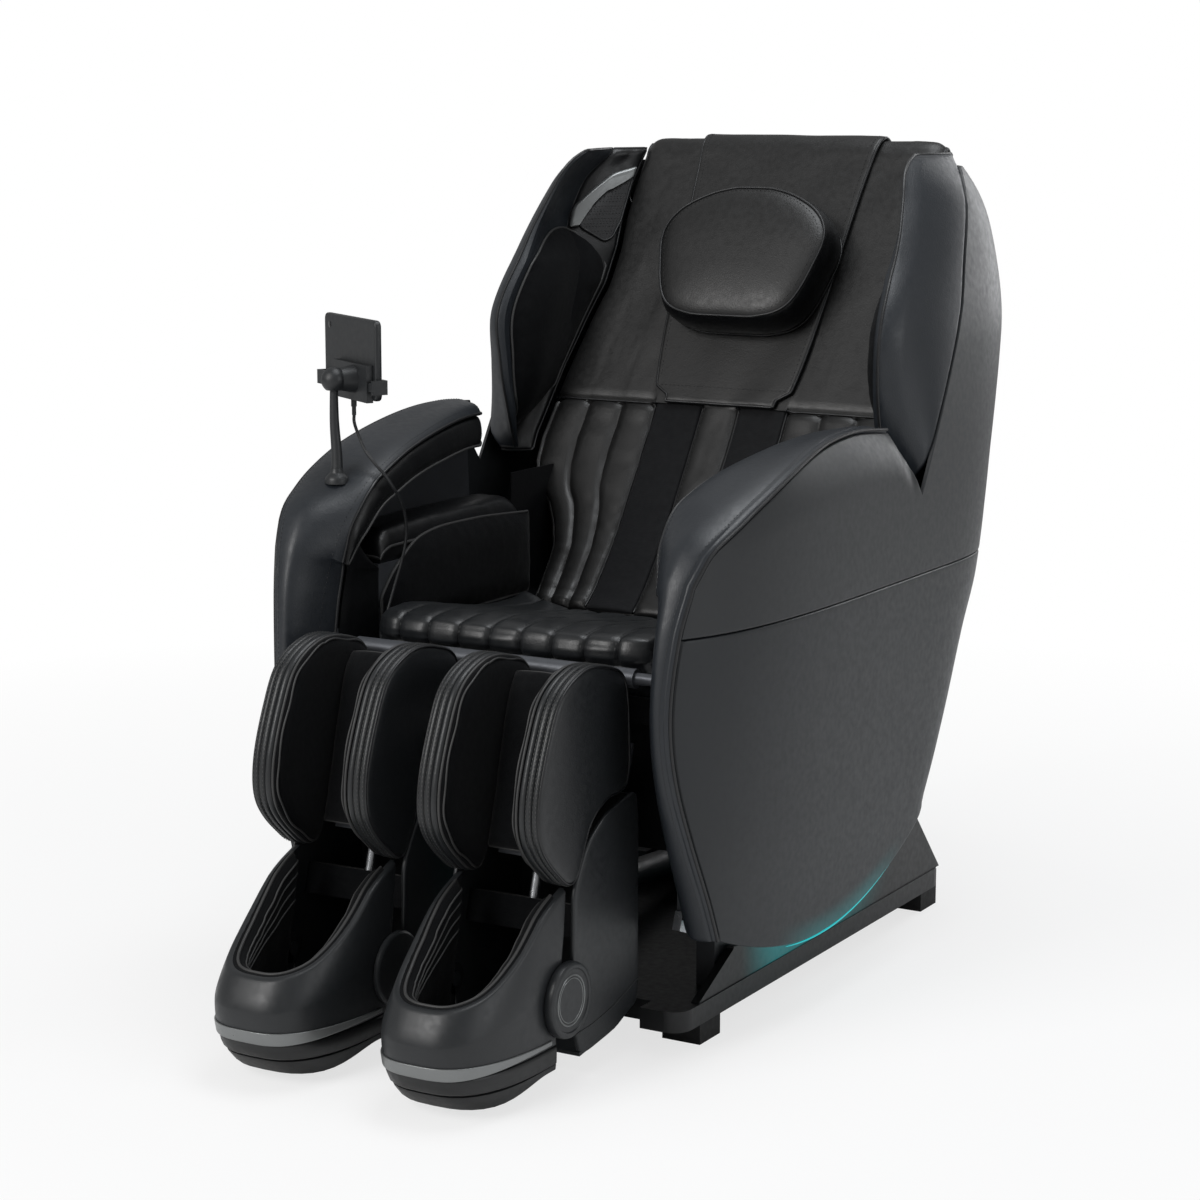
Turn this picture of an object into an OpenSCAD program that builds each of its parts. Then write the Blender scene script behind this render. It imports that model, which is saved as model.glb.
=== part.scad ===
/* [Frame] */
// Distance from the middle of the base to the middle of the whole chair, front to back
frame_y = 150; // [140:1:160]

/* [Base] */
// Half of the width of the floor tray
tray_half_w = 300; // [290:1:302]
// Front edge of the floor tray, measured from the middle of the base
tray_front = 455; // [440:1:470]
// Rear edge of the floor tray, measured from the middle of the base
tray_rear = 395; // [380:1:410]
// Corner radius of the floor tray
tray_corner = 28; // [10:1:40]
// Height of the foot blocks
foot_h = 33; // [20:1:45]
// Side of the square foot blocks
foot_side = 58; // [40:1:70]
// Distance from the middle to a foot, sideways
foot_x = 264; // [240:1:268]
// Distance from the middle of the base to a foot, front to back
foot_y = 362; // [330:1:364]
// Height of the tray rim
tray_h = 29; // [24:1:34]
// Sheet thickness of the tray
tray_wall = 6; // [4:1:8]
// Thickness of the base's side skirts
skirt_wall = 12; // [8:1:14]

/* [Rocking body] */
// Height of the lowest point of the arc rails above the floor
rail_low = 118; // [112:1:124]
// Distance of that centre in front of the middle of the base
rock_y = 186; // [180:1:192]
// Outer radius of the arc rails
rail_r = 610; // [600:1:611]
// Height of the arc rails' section
rail_h = 26; // [18:1:32]
// Thickness of the arc rails
rail_w = 12; // [8:1:14]
// Inner face of an arc rail, from the middle
rail_x = 262; // [256:1:264]
// How far the bottom edge of the side panels stands below the arc rails
panel_drop = 5; // [2:1:10]
// Thickness of the frame's plates
plate_t = 5; // [4:0.5:8]
// Outer radius of the frame's cross tubes
tube_r = 14; // [12:0.5:15]
// Wall of the frame's cross tubes
tube_wall = 2.5; // [1.5:0.5:4]
// Thickness of the seat pan
pan_t = 4; // [2:0.5:6]
// Play between an arc rail and its glide shoe
glide_play = 0.3; // [0.2:0.05:0.6]

/* [Side panels] */
// Thickness of the moulded side panels
panel_wall = 5; // [3:0.5:6]
// Height of the seam between lower panel and upper cover
seam_z = 575; // [560:1:590]
// Gap at that seam and between cover and pad
seam_gap = 1; // [0.6:0.1:2]
// Distance from the middle at which the side panels end at the back
wrap_x = 305; // [303:1:312]

/* [Arms] */
// Inner edge of the arm bands, from the middle
band_in = 236; // [232:1:244]
// Crown of the arm bands
band_crown = 20; // [12:1:24]
// Thickness of the arm bands at their seams
band_edge = 5; // [3:0.5:8]

/* [Seat] */
// Half of the width of the seat cushion
seat_half_w = 222; // [205:1:225]
// Depth of a sewn channel in the seat cushion
seat_channel = 7; // [3:0.5:9]
// Number of full channels across the seat
seat_channels = 7; // [5:2:9]

/* [Back] */
// Half of the width of the back cushion at the top
back_half_w = 256; // [245:1:258]
// Thickness of the back cushion
back_t = 62; // [50:1:66]
// Depth of the quilted channels of the lower back
back_channel = 8; // [3:0.5:10]
// Half of the width of the head flap
flap_half_w = 140; // [120:1:150]
// Width of the head pillow
pillow_w = 292; // [250:1:310]
// Thickness of the head pillow
pillow_t = 78; // [60:1:90]

// Thickness of the speaker housings on the wings
speaker_t = 12; // [8:1:16]

/* [Legs] */
// Middle of one leg channel, from the middle of the chair
leg_x = 131; // [128:1:134]
// Half of the width of one leg unit
leg_half_w = 94; // [90:1:96]
// Thickness of a calf wall pad
calf_wall = 34; // [28:1:38]
// Thickness of the fabric lining of a calf wall
lining_t = 14; // [8:1:18]
// Wall of the foot shells
shoe_wall = 5; // [3:0.5:7]
// Wall of the lower shells of the legs
shell_wall = 6; // [4:0.5:8]
// Radius of the ankle discs
disc_r = 50; // [44:1:54]

/* [Tablet holder] */
// Radius of the stalk at its base
stalk_r1 = 9; // [7:0.5:11]
// Radius of the stalk under its ball
stalk_r2 = 5.5; // [4:0.5:7]
// Radius of the ball
ball_r = 13; // [10:0.5:16]
// Length of the tablet
tablet_l = 180; // [160:1:200]
// Height of the tablet
tablet_h = 112; // [100:1:125]
// Thickness of the tablet
tablet_t = 10; // [8:0.5:12]

/* [Hidden] */
$fn = 48;

// ---- curves ----
// Slope of a list of [position, value] points at point i
function slope(p, i) = let (a = max(i - 1, 0), b = min(i + 1, len(p) - 1))
  (p[b][1] - p[a][1]) / (p[b][0] - p[a][0]);
// Smooth curve through a list of [position, value] points
function curve(p, v) = let (
    n = len(p) - 2,
    i = max([for (j = [0:n]) (v >= p[j][0] || j == 0) ? j : 0]),
    h = p[i + 1][0] - p[i][0],
    t = min(max((v - p[i][0]) / h, 0), 1))
  p[i][1] * (1 + 2 * t) * (1 - t) * (1 - t) + slope(p, i) * h * t * (1 - t) * (1 - t)
  + p[i + 1][1] * t * t * (3 - 2 * t) - slope(p, i + 1) * h * t * t * (1 - t);
// Smooth path through points, at parameter u from 0 to the last index
function along(p, u) = let (
    i = min(floor(u), len(p) - 2), t = u - i,
    m0 = (p[i + 1] - p[max(i - 1, 0)]) / 2,
    m1 = (p[min(i + 2, len(p) - 1)] - p[i]) / 2)
  p[i] * (1 + 2 * t) * (1 - t) * (1 - t) + m0 * t * (1 - t) * (1 - t)
  + p[i + 1] * t * t * (3 - 2 * t) - m1 * t * t * (1 - t);
function heading(p, u) = let (e = 0.01, a = along(p, max(u - e, 0)),
    b = along(p, min(u + e, len(p) - 1 - 1e-6))) (b - a) / norm(b - a);
function lerp(a, b, t) = a + (b - a) * t;

// ---- closed meshes ----
// Six times the signed volume under a list of triangles
function six_volume(p, f) = [for (t = f) p[t[0]] * cross(p[t[1]], p[t[2]])] * [for (t = f) 1];
module closed_mesh(p, f) {
  polyhedron(p, six_volume(p, f) > 0 ? [for (t = f) [t[2], t[1], t[0]]] : f, convexity = 8);
}
// Solid between two grids of points that have the same rows and columns
module slab(front, back) {
  r = len(front);
  c = len(front[0]);
  n = r * c;
  p = [for (g = [front, back]) for (row = g) for (q = row) q];
  quads = [
    for (i = [0:r - 2]) for (j = [0:c - 2])
      each let (a = i * c + j) [[a, a + 1, a + c + 1, a + c], [n + a + c, n + a + c + 1, n + a + 1, n + a]],
    for (i = [0:r - 2])
      each let (a = i * c, b = i * c + c - 1)
        [[a, a + c, n + a + c, n + a], [b + c, b, n + b, n + b + c]],
    for (j = [0:c - 2])
      each let (a = j, b = (r - 1) * c + j)
        [[a + 1, a, n + a, n + a + 1], [b, b + 1, n + b + 1, n + b]]];
  closed_mesh(p, [for (q = quads) each [[q[0], q[1], q[2]], [q[0], q[2], q[3]]]]);
}
// Solid through a list of closed rings, with a fan of triangles to a middle point at each end
module loft(rings, start, finish) {
  m = len(rings[0]);
  r = len(rings);
  p = [each [for (g = rings) each g], start, finish];
  tris = [
    for (i = [0:r - 2]) for (j = [0:m - 1])
      each let (a = i * m + j, b = i * m + (j + 1) % m) [[a, b, b + m], [a, b + m, a + m]],
    for (j = [0:m - 1]) [(j + 1) % m, j, r * m],
    for (j = [0:m - 1]) [(r - 1) * m + j, (r - 1) * m + (j + 1) % m, r * m + 1]];
  closed_mesh(p, tris);
}
// Smooth closed outline through points, with n points on it
function outline(p, n) = let (m = len(p)) [for (k = [0:n - 1]) let (
    u = k * m / n, i = floor(u), t = u - i,
    a = p[(i + m - 1) % m], b = p[i % m], c = p[(i + 1) % m], d = p[(i + 2) % m],
    m0 = (c - a) / 2, m1 = (d - b) / 2)
  b * (1 + 2 * t) * (1 - t) * (1 - t) + m0 * t * (1 - t) * (1 - t)
  + c * t * t * (3 - 2 * t) - m1 * t * t * (1 - t)];

module in_frame() translate([0, frame_y, 0]) children();
module right_side() mirror([1, 0, 0]) children();
module both_sides() {
  children();
  mirror([1, 0, 0]) children();
}
// Extrudes a front-to-back outline sideways, from x0 to x1
module side_plate(x0, x1, points) translate([x0, 0, 0]) rotate([90, 0, 90])
  linear_extrude(x1 - x0) polygon(points);
module side_disc(x0, x1, y, z, r) translate([x0, y, z]) rotate([0, 90, 0])
  cylinder(h = x1 - x0, r = r, $fn = r > 100 ? 360 : 48);
module block(low, high) translate(low) cube(high - low);
module rounded_plate(x, y0, y1, r, h) linear_extrude(h) union() {
  translate([-x + r, y0]) square([2 * x - 2 * r, y1 - y0]);
  translate([-x, y0 + r]) square([2 * x, y1 - y0 - 2 * r]);
  for (sx = [-1, 1]) for (q = [y0 + r, y1 - r]) translate([sx * (x - r), q]) circle(r);
}

// Height of the centre that the body rocks about
rock_z = rail_low + rail_r;
panel_r = rail_r + panel_drop;

// ---- outer skin of the body ----
mid_y = 60;
front_len = 660;
width_of = [[150, 370], [300, 378], [900, 378], [1000, 366], [1100, 345], [1156, 320]];
rear_of = [[230, 205], [351, 299], [464, 374], [549, 436], [745, 496], [866, 528],
  [970, 540], [1066, 517], [1123, 482], [1156, 452]];
front_of = [[162, -425], [208, -442], [297, -475], [393, -500], [480, -507], [577, -496], [640, -478]];
arm_top = [[-478, 640], [-450, 679], [-400, 706], [-350, 727], [-271, 752], [-167, 770],
  [-60, 778], [48, 770]];
wing_seam = [[48, 770], [145, 692], [200, 774], [250, 857], [285, 926], [300, 957], [306, 1040],
  [318, 1118], [330, 1138]];
shell_top = 1138;
rear_cover_z = 332;
arm_front_z = 640;
function rear_reach(z, t) = curve(rear_of, z) - mid_y - t;
function half_w(z, t) = curve(width_of, z) - t;
function skin_x(y, z, t = 0) = y < mid_y
  ? half_w(z, t) * pow(1 - pow((mid_y - y) / (front_len - t), 4), 1 / 4)
  : half_w(z, t) * pow(1 - pow(min((y - mid_y) / rear_reach(z, t), 1), 6), 1 / 6);
function skin_y(x, z, t) = mid_y + rear_reach(z, t) * pow(1 - pow(min(x / half_w(z, t), 1), 6), 1 / 6);
function arc_z(y, r) = rock_z - sqrt(r * r - (y + rock_y) * (y + rock_y));

// ---- base ----
module base_tray() in_frame() color("#1c1d1f") {
  translate([0, 0, foot_h]) difference() {
    rounded_plate(tray_half_w, -tray_front, tray_rear, tray_corner, tray_h);
    translate([0, 0, -1]) rounded_plate(tray_half_w - tray_wall, -tray_front + tray_wall,
      tray_rear - tray_wall, tray_corner - tray_wall, tray_h - tray_wall + 1);
    block([-leg_clear_x, -tray_front - 1, -1], [leg_clear_x, -leg_clear_y, tray_h + 1]);
  }
  // lugs and pin of the recline drive
  for (sx = [-1, 1]) block([sx * 22 - 6, drive_y - 14, tray_top - 1], [sx * 22 + 6, drive_y + 14, drive_z + 12]);
  side_disc(-28, 28, drive_y, drive_z, 6);
  // corner blocks that the feet are screwed to
  for (sx = [-1, 1]) for (sy = [-1, 1])
    block([sx * foot_x - foot_side / 2, sy * foot_y - foot_side / 2, foot_h],
      [sx * foot_x + foot_side / 2, sy * foot_y + foot_side / 2, foot_h + tray_h - tray_wall]);
  block([-leg_clear_x - tray_wall, -leg_clear_y, foot_h],
    [leg_clear_x + tray_wall, -leg_clear_y + tray_wall, foot_h + tray_h - tray_wall]);
}
leg_clear_x = 236;
leg_clear_y = 424;
tray_top = foot_h + tray_h;
skirt_r = panel_r + 9;
module base_skirt() in_frame() color("#26272a") {
  both_sides() difference() {
    side_plate(tray_half_w - 2 - skirt_wall, tray_half_w - 2, [[-405, tray_top], [-305, 112], [-290, 150],
      [180, 260], [222, 232], [240, 226], [tray_rear - 6, tray_top]]);
    side_disc(0, tray_half_w + 1, -rock_y, rock_z, skirt_r);
  }
  // sloped wall between the two sides at the rear
  side_plate(-tray_half_w + 2 + skirt_wall, tray_half_w - 2 - skirt_wall,
    [[tray_rear - 16, tray_top], [tray_rear - 6, tray_top], [240, 226], [230, 226]]);
}
module base_feet() in_frame() color("#101010")
  for (sx = [-1, 1]) for (sy = [-1, 1])
    translate([sx * foot_x, sy * foot_y, 0]) translate([-foot_side / 2, -foot_side / 2, 0])
      cube([foot_side, foot_side, foot_h]);
shoe_y = [-330, -40];
shoe_l = 70;
shoe_side = 8;
module glide_shoes() in_frame() color("#2b2d30")
  both_sides() for (y0 = shoe_y) difference() {
    block([rail_x - shoe_side, y0, tray_top], [rail_x + rail_w + shoe_side, y0 + shoe_l,
      arc_z(y0 < -200 ? y0 : y0 + shoe_l, rail_r) + 10]);
    side_disc(rail_x - glide_play, rail_x + rail_w + glide_play, -rock_y, rock_z, rail_r + glide_play);
    side_disc(rail_x - shoe_side - 1, rail_x + rail_w + shoe_side + 1, -rock_y, rock_z, rail_r - 12);
  }

// ---- frame of the rocking body ----
rail_from = -112;
rail_to = -44;
module arc_rails() in_frame() color("#7d8084")
  both_sides() translate([rail_x + rail_w, -rock_y, rock_z]) rotate([90, 0, 90]) mirror([0, 0, 1])
    rotate([0, 0, rail_from]) rotate_extrude(angle = rail_to - rail_from, $fn = 360)
      translate([rail_r - rail_h, 0]) square([rail_h, rail_w]);
plate_r = rail_r - rail_h - 0.2;
frame_tubes = [[-378, 444], [-150, 267], [215, 430]];
pan_z = 466;
leg_pivot_y = -440;
leg_pivot_z = 505;
module seat_frame() in_frame() color("#6f7276") {
  both_sides() {
    intersection() {
      side_disc(rail_x, rail_x + plate_t, -rock_y, rock_z, plate_r);
      side_plate(rail_x, rail_x + plate_t, [[-400, 100], [-400, 486], [60, 486], [140, 560],
        [250, 470], [300, 330], [300, 100]]);
    }
    side_plate(rail_x, rail_x + plate_t, [[leg_pivot_y - 18, leg_pivot_z - 18],
      [leg_pivot_y - 18, leg_pivot_z + 18], [-402, leg_pivot_z + 18], [-380, 480], [-400, 470]]);
  }
  difference() {
    union() for (q = frame_tubes) side_disc(-rail_x, rail_x, q[0], q[1], tube_r);
    for (q = frame_tubes) side_disc(-rail_x - 1, rail_x + 1, q[0], q[1], tube_r - tube_wall);
  }
  block([-rail_x, -394, pan_z], [rail_x, -36, pan_z + pan_t]);
  // lugs and pin that the recline rod pushes
  for (sx = [-1, 1]) side_plate(sx * 20 - 4, sx * 20 + 4, [[-175, 262], [-125, 262], [-172, 116], [-200, 116]]);
  side_disc(-24, 24, -rock_y, rock_z - lug_r, lug_pin_r);
}
module leg_hinge_shaft() in_frame() color("#a8abae")
  side_disc(-rail_x, rail_x, leg_pivot_y, leg_pivot_z, leg_shaft_r);
leg_shaft_r = 8;
// The back's own frame: origin on its front surface, z up along the lean, y to the rear
back_lean = 31.2;
module in_back() in_frame() translate([0, 141, 690]) rotate([-back_lean, 0, 0]) children();
track_x = 120;
track_y = 92;
track_r = 8;
module back_frame() in_back() color("#6f7276") difference() {
  union() {
    for (sx = [-1, 1]) block([sx * post_x - post_w / 2, 67, -190], [sx * post_x + post_w / 2, 84, 500]);
    side_disc(-rail_x, rail_x, 73, -196, 12);
    for (z = [track_low + 9, track_high - 9]) block([-post_x, 72, z - 12], [post_x, 104, z + 12]);
    // brackets that carry the rear cover
    for (sx = [-1, 1]) rotate([back_lean, 0, 0]) block([sx * post_x - post_w / 2, cover_bracket_y - 141, cover_bracket_z - 8 - 690],
      [sx * post_x + post_w / 2, skin_y(post_x + post_w / 2, cover_bracket_z - 8, panel_wall) - skin_play - 141.5, cover_bracket_z + 8 - 690]);
  }
  side_disc(-rail_x - 1, rail_x + 1, 73, -196, 12 - tube_wall);
  for (sx = [-1, 1]) translate([sx * track_x, track_y, track_low])
    cylinder(h = track_high - track_low, r = track_r + 0.02);
}
post_x = 200;
post_w = 18;
cover_bracket_y = 330;
cover_bracket_z = 860;
track_low = -174;
track_high = 449;
module track_rods() in_back() color("#b4b7ba") for (sx = [-1, 1])
  translate([sx * track_x, track_y, track_low]) cylinder(h = track_high - track_low, r = track_r);

// ---- massage mechanism ----
carriage_z = 100;
arm_pivot_y = 100;
roller_r = 27;
roller_gap = 56;
module massage_carriage() in_back() color("#55585c") difference() {
  union() {
    for (sx = [-1, 1]) block([sx * track_x - 18, track_y - 16, carriage_z - 45],
      [sx * track_x + 18, track_y + 16, carriage_z + 45]);
    block([-110, 112, carriage_z - 45], [110, 118, carriage_z + 45]);
    for (sx = [-1, 1]) block([sx * 104 - 6, 90, carriage_z - 14], [sx * 104 + 6, 114, carriage_z + 14]);
    side_disc(-106, 106, arm_pivot_y, carriage_z, 6);
    // kneading motor and its gearbox
    translate([-45, 118, carriage_z - 30]) cube([90, 44, 60]);
    side_disc(45, 100, 142, carriage_z, 20);
  }
  for (sx = [-1, 1]) translate([sx * track_x, track_y, carriage_z - 50]) cylinder(h = 100, r = track_r + 0.05);
}
module massage_arms() in_back() color("#c4c2bc") for (sx = [-1, 1]) difference() {
  union() {
    side_disc(sx * 62 - 6, sx * 62 + 6, arm_pivot_y, carriage_z, 12);
    for (sz = [-1, 1]) {
      side_plate(sx * 62 - 5, sx * 62 + 5, sz > 0
        ? [[92, carriage_z], [106, carriage_z + 6], [70, carriage_z + 64], [58, carriage_z + 56]]
        : [[92, carriage_z], [106, carriage_z - 6], [70, carriage_z - 64], [58, carriage_z - 56]]);
      side_disc(sx * 62 - 5, sx * 62 + 5, 62, carriage_z + sz * roller_gap, 10);
    }
  }
  side_disc(-80, 80, arm_pivot_y, carriage_z, 6.05);
  for (sz = [-1, 1]) side_disc(-80, 80, 62, carriage_z + sz * roller_gap, 5.05);
}
module roller_pair(z) in_back() color("#d8d5cc") {
  side_disc(-69, 69, 62, z, 5);
  for (sx = [-1, 1]) side_disc(sx * 84 - 15, sx * 84 + 15, 62, z, roller_r);
}
module massage_rollers_upper() roller_pair(carriage_z + roller_gap);
module massage_rollers_lower() roller_pair(carriage_z - roller_gap);

// ---- side panels and covers ----
panel_g = [0, 0.04, 0.1, 0.2, 0.32, 0.45, 0.58, 0.7, 0.8, 0.88, 0.94, 0.98, 1];
panel_v = [0, 0.1, 0.22, 0.36, 0.52, 0.68, 0.84, 1];
function panel_point(g, v, t) = let (
    z = lerp(arc_z(lerp(-425, 193, g), panel_r), seam_z - seam_gap / 2, v),
    y = lerp(curve(front_of, z), skin_y(wrap_x, z, t), g))
  [skin_x(y, z, t), y, z];
module side_panel() color("#36383c") slab(
  [for (v = panel_v) [for (g = panel_g) panel_point(g, v, 0)]],
  [for (v = panel_v) [for (g = panel_g) panel_point(g, v, panel_wall)]]);
module side_panel_left() in_frame() side_panel();
module side_panel_right() in_frame() right_side() side_panel();

cover_y = [-450, -400, -350, -271, -167, -60, 48, 95, 145, 200, 250, 285, 300, 306, 318, 330];
cover_f = [0.35, 0.62, 0.8, 0.91, 0.97, 1];
cover_v = [0, 0.18, 0.36, 0.52, 0.66, 0.78, 0.88, 0.95, 1];
function cover_top(y) = y <= 48 ? curve(arm_top, y) : lookup(y, wing_seam);
function cover_z(top, v) = lerp(seam_z + seam_gap / 2, top, v);
function cover_point(y, z, t) = [skin_x(y, z, t), y, z];
function cover_row(v, t) = [
  let (z = cover_z(arm_front_z, v)) cover_point(curve(front_of, z), z, t),
  for (y = cover_y) cover_point(y, cover_z(cover_top(y), v), t),
  for (f = cover_f) let (z = cover_z(shell_top, v)) cover_point(lerp(330, skin_y(wrap_x, z, t), f), z, t)];
module upper_cover() color("#3d3f41") slab([for (v = cover_v) cover_row(v, 0)],
  [for (v = cover_v) cover_row(v, panel_wall)]);
module upper_cover_left() in_frame() upper_cover();
module upper_cover_right() in_frame() right_side() upper_cover();

rear_x = [0, 70, 140, 200, 245, 275, 293, wrap_x - seam_gap];
rear_z = [rear_cover_z, 400, 464, 549, 650, 745, 866, 970, 1030, 1075, 1110, shell_top];
function rear_row(z, t) = [for (i = [-7:7]) let (x = rear_x[abs(i)]) [sign(i) * x, skin_y(x, z, t), z]];
module rear_cover() in_frame() color("#505050") slab([for (z = rear_z) rear_row(z, 0)],
  [for (z = rear_z) rear_row(z, panel_wall)]);

// ---- arms ----
// Edge line that the arm band follows: up the front, then back along the arm
function edge(s) = s <= 1 ? let (z = lerp(164, arm_front_z, s)) [curve(front_of, z), z]
  : let (y = lerp(-478, 46, s - 1)) [y, curve(arm_top, y)];
function edge_out(s) = let (a = edge(max(s - 0.02, 0)), b = edge(min(s + 0.02, 2)), d = (b - a) / norm(b - a))
  [-d[1], d[0]];
function off_edge(s, h) = edge(s) + edge_out(s) * h;
band_s = [0, 0.2, 0.4, 0.6, 0.78, 0.92, 1, 1.05, 1.1, 1.17, 1.25, 1.34, 1.45, 1.58, 1.72, 1.86, 1.95, 2];
band_c = [0, 0.06, 0.16, 0.3, 0.45, 0.6, 0.8, 0.95, 1];
// Inner edge of the band: its rounded nose falls back towards the seat on the arm's front
band_inner = [[0, rail_x + plate_t + 2], [0.8, rail_x + plate_t + 2], [0.92, band_in + 24], [1.05, band_in + 16], [1.18, band_in + 10], [1.3, band_in + 18],
  [1.5, band_in + 36], [1.75, band_in + 52], [2, band_in + 68]];
nose_back = 66;
nose_of = [[0, 12], [0.1, 28], [0.3, 58], [0.45, nose_back]];
nose_end = band_in + 50;
band_lift = 2;
function crown(c, power) = 1 - pow(abs(2 * c - 1), power);
function upright(s) = let (t = min(max((s - 0.84) / 0.26, 0), 1)) 1 - t * t * (3 - 2 * t);
function band_nose(s, x) = curve(nose_of, s) * upright(s)
  * pow(max(0, nose_end - x) / (nose_end - curve(band_inner, s)), 1.7);
function band_point(s, c, h) = let (q = edge(s), x = lerp(curve(band_inner, s), skin_x(q[0], q[1]), c),
  p = off_edge(s, h - band_nose(s, x))) [x, p[0], p[1]];
function band_end(s) = 1 - pow(max(0, (s - 1.9) / 0.1), 2);
module arm_band() color("#3c3e42") slab(
  [for (s = band_s) [for (c = band_c) band_point(s, c, band_lift + band_edge + band_crown * crown(c, 3) * max(band_end(s), 0.1))]],
  [for (s = band_s) [for (c = band_c) band_point(s, c, band_lift)]]);
module arm_band_left() in_frame() arm_band();
module arm_band_right() difference() {
  in_frame() right_side() arm_band();
  in_frame() translate(stalk_foot - [0, 0, 20]) cylinder(h = 60, r = stalk_flange + 0.3);
}

rib_s = [for (s = band_s) if (s <= 1.1) s];
arm_s = [for (s = band_s) if (s >= 1.17 && s <= 1.95) s];
arm_plate_x = 340;
rib_x = 297;
plate_front = -396;
arm_plate_t = 5;
skin_play = 0.7;
shelf_z = 598;
module arm_frames() in_frame() color("#6f7276") both_sides() {
  // rib behind the front strip of the band
  side_plate(rib_x, rib_x + 6, [for (s = rib_s) off_edge(s, band_lift - 0.4),
    off_edge(1.1, -26), [-392, 560], [-345, 300], [-345, 175]]);
  for (z = [200, 330, 460]) let (y = max(curve(front_of, z) + nose_back + 4, plate_front))
    block([rail_x + plate_t + 0.2, y, z - 10], [rib_x + 1, y + 16, z + 10]);
  // outer wall, shelf and inner wall that carry the arm's pads
  side_plate(arm_plate_x, arm_plate_x + arm_plate_t, [[-405, 455], [-405, 660],
    for (s = arm_s) off_edge(s, band_lift - 0.4), [36, 455]]);
  block([arm_in, -350, shelf_z], [arm_plate_x + 1, 30, shelf_z + 5]);
  block([arm_in, -350, 505], [arm_in + 5, 30, shelf_z + 1]);
  for (y = [-300, -20]) block([rail_x + plate_t + 0.2, y - 12, 456], [arm_plate_x + 1, y + 12, 476]);
  // brackets that carry the side panel and the upper cover
  for (z = [520, 640]) for (y = [-180, -20]) block([arm_plate_x + arm_plate_t - 1, y - 15, z - 8],
    [min(skin_x(y - 15, z, panel_wall), skin_x(y + 15, z, panel_wall)) - skin_play, y + 15, z + 8]);
}
arm_in = 250;
roll_s = [1.12, 1.17, 1.25, 1.34, 1.45, 1.58, 1.72, 1.86, 1.95];
roll_c = [0, 0.12, 0.5, 0.88, 1];
roll_in = 238;
roll_t = 42;
function roll_x(c) = lerp(roll_in, arm_plate_x - 0.4, c);
roll_end = [0.45, 0.85, 1, 1, 1, 1, 1, 0.97, 0.6];
module arm_rolls() in_frame() color("#232428") both_sides() slab(
  [for (s = roll_s) [for (c = roll_c) let (p = off_edge(s, band_lift - 0.5)) [roll_x(c), p[0], p[1]]]],
  [for (i = [0:8]) [for (c = roll_c) let (p = off_edge(roll_s[i], band_lift - 0.5
    - roll_t * roll_end[i] * (0.7 + 0.3 * crown(c, 4)))) [roll_x(c), p[0], p[1]]]]);
rest_pad_y = [-345, -338, -320, -250, -100, 10, 24, 30];
rest_pad_h = [[-345, 16], [-338, 34], [-320, 48], [-190, 52], [10, 52], [24, 44], [30, 30]];
module arm_rest_pads() in_frame() color("#2b2c30") both_sides() slab(
  [for (y = rest_pad_y) [for (c = band_c) [lerp(arm_in, arm_plate_x - 0.4, c), y,
    shelf_z + 5.3 + lookup(y, rest_pad_h) * (0.75 + 0.25 * crown(c, 4))]]],
  [for (y = rest_pad_y) [for (c = band_c) [lerp(arm_in, arm_plate_x - 0.4, c), y, shelf_z + 5.3]]]);
hip_top = [[-350, 554], [-313, 592], [-248, 630], [-115, 637], [44, 628]];
hip_y = [-348, -335, -313, -280, -248, -180, -80, 10, 38, 46];
hip_v = [0, 0.1, 0.5, 0.88, 1];
hip_t = 21;
module hip_pads() in_frame() color("#0c0d10") both_sides() slab(
  [for (v = hip_v) [for (y = hip_y) [arm_in - 0.3 - 6 - (hip_t - 6) * crown(v, 4)
    * crown((y + 350) / 400, 8), y, lerp(506, curve(hip_top, y), v)]]],
  [for (v = hip_v) [for (y = hip_y) [arm_in - 0.3, y, lerp(506, curve(hip_top, y), v)]]]);

// ---- wings ----
nose_y = [[700, 142], [774, 99], [850, 72], [930, 68], [1027, 122], [1106, 183], [1150, 204]];
nose_x = [[700, 334], [774, 331], [850, 333], [930, 336], [1027, 325], [1106, 306], [1150, 292]];
wing_rear = [[692, 145], [774, 200], [857, 250], [926, 285], [957, 300], [1040, 306], [1130, 318], [1150, 324]];
wing_z = [712, 740, 774, 857, 905, 957, 1000, 1040, 1085, 1125, 1150];
wing_w = [0, 0.15, 0.35, 0.55, 0.75, 0.9, 0.97, 1];
wing_t = [[700, 30], [774, 42], [1000, 42], [1060, 26], [1150, 16]];
wing_nose = [1, 1, 1, 1, 0.98, 0.85, 0.65, 0.4];
function wing_out(z, w) = let (yr = lookup(z, wing_rear) - seam_gap, xr = skin_x(yr, z))
  [lerp(xr, curve(nose_x, z), pow(w, 2.4)), lerp(yr, curve(nose_y, z), w), z];
function wing_in(z, i, k = 0) = wing_out(z, wing_w[i]) - [lookup(z, wing_t) * wing_nose[i] + k, 0, 0];
module wing_pad() color("#434547") slab(
  [for (z = wing_z) [for (w = wing_w) wing_out(z, w)]],
  [for (z = wing_z) [for (i = [0:7]) wing_in(z, i)]]);
module wing_pad_left() in_frame() wing_pad();
module wing_pad_right() in_frame() right_side() wing_pad();
shoulder_z = [for (z = wing_z) if (z > 730 && z < 1050) z];
shoulder_fill = [0.25, 0.8, 1, 1, 1, 0.8, 0.25];
module shoulder_pads() in_frame() color("#0c0d10") both_sides() slab(
  [for (k = [0:6]) [for (i = [0:6]) wing_in(shoulder_z[k], i, 8 + 34 * shoulder_fill[k] * [0.3, 0.85, 1, 1, 0.8, 0.45, 0.1][i])]],
  [for (k = [0:6]) [for (i = [0:6]) wing_in(shoulder_z[k], i, 0.4)]]);
speaker_z = [for (z = wing_z) if (z > 1030) z];
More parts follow.
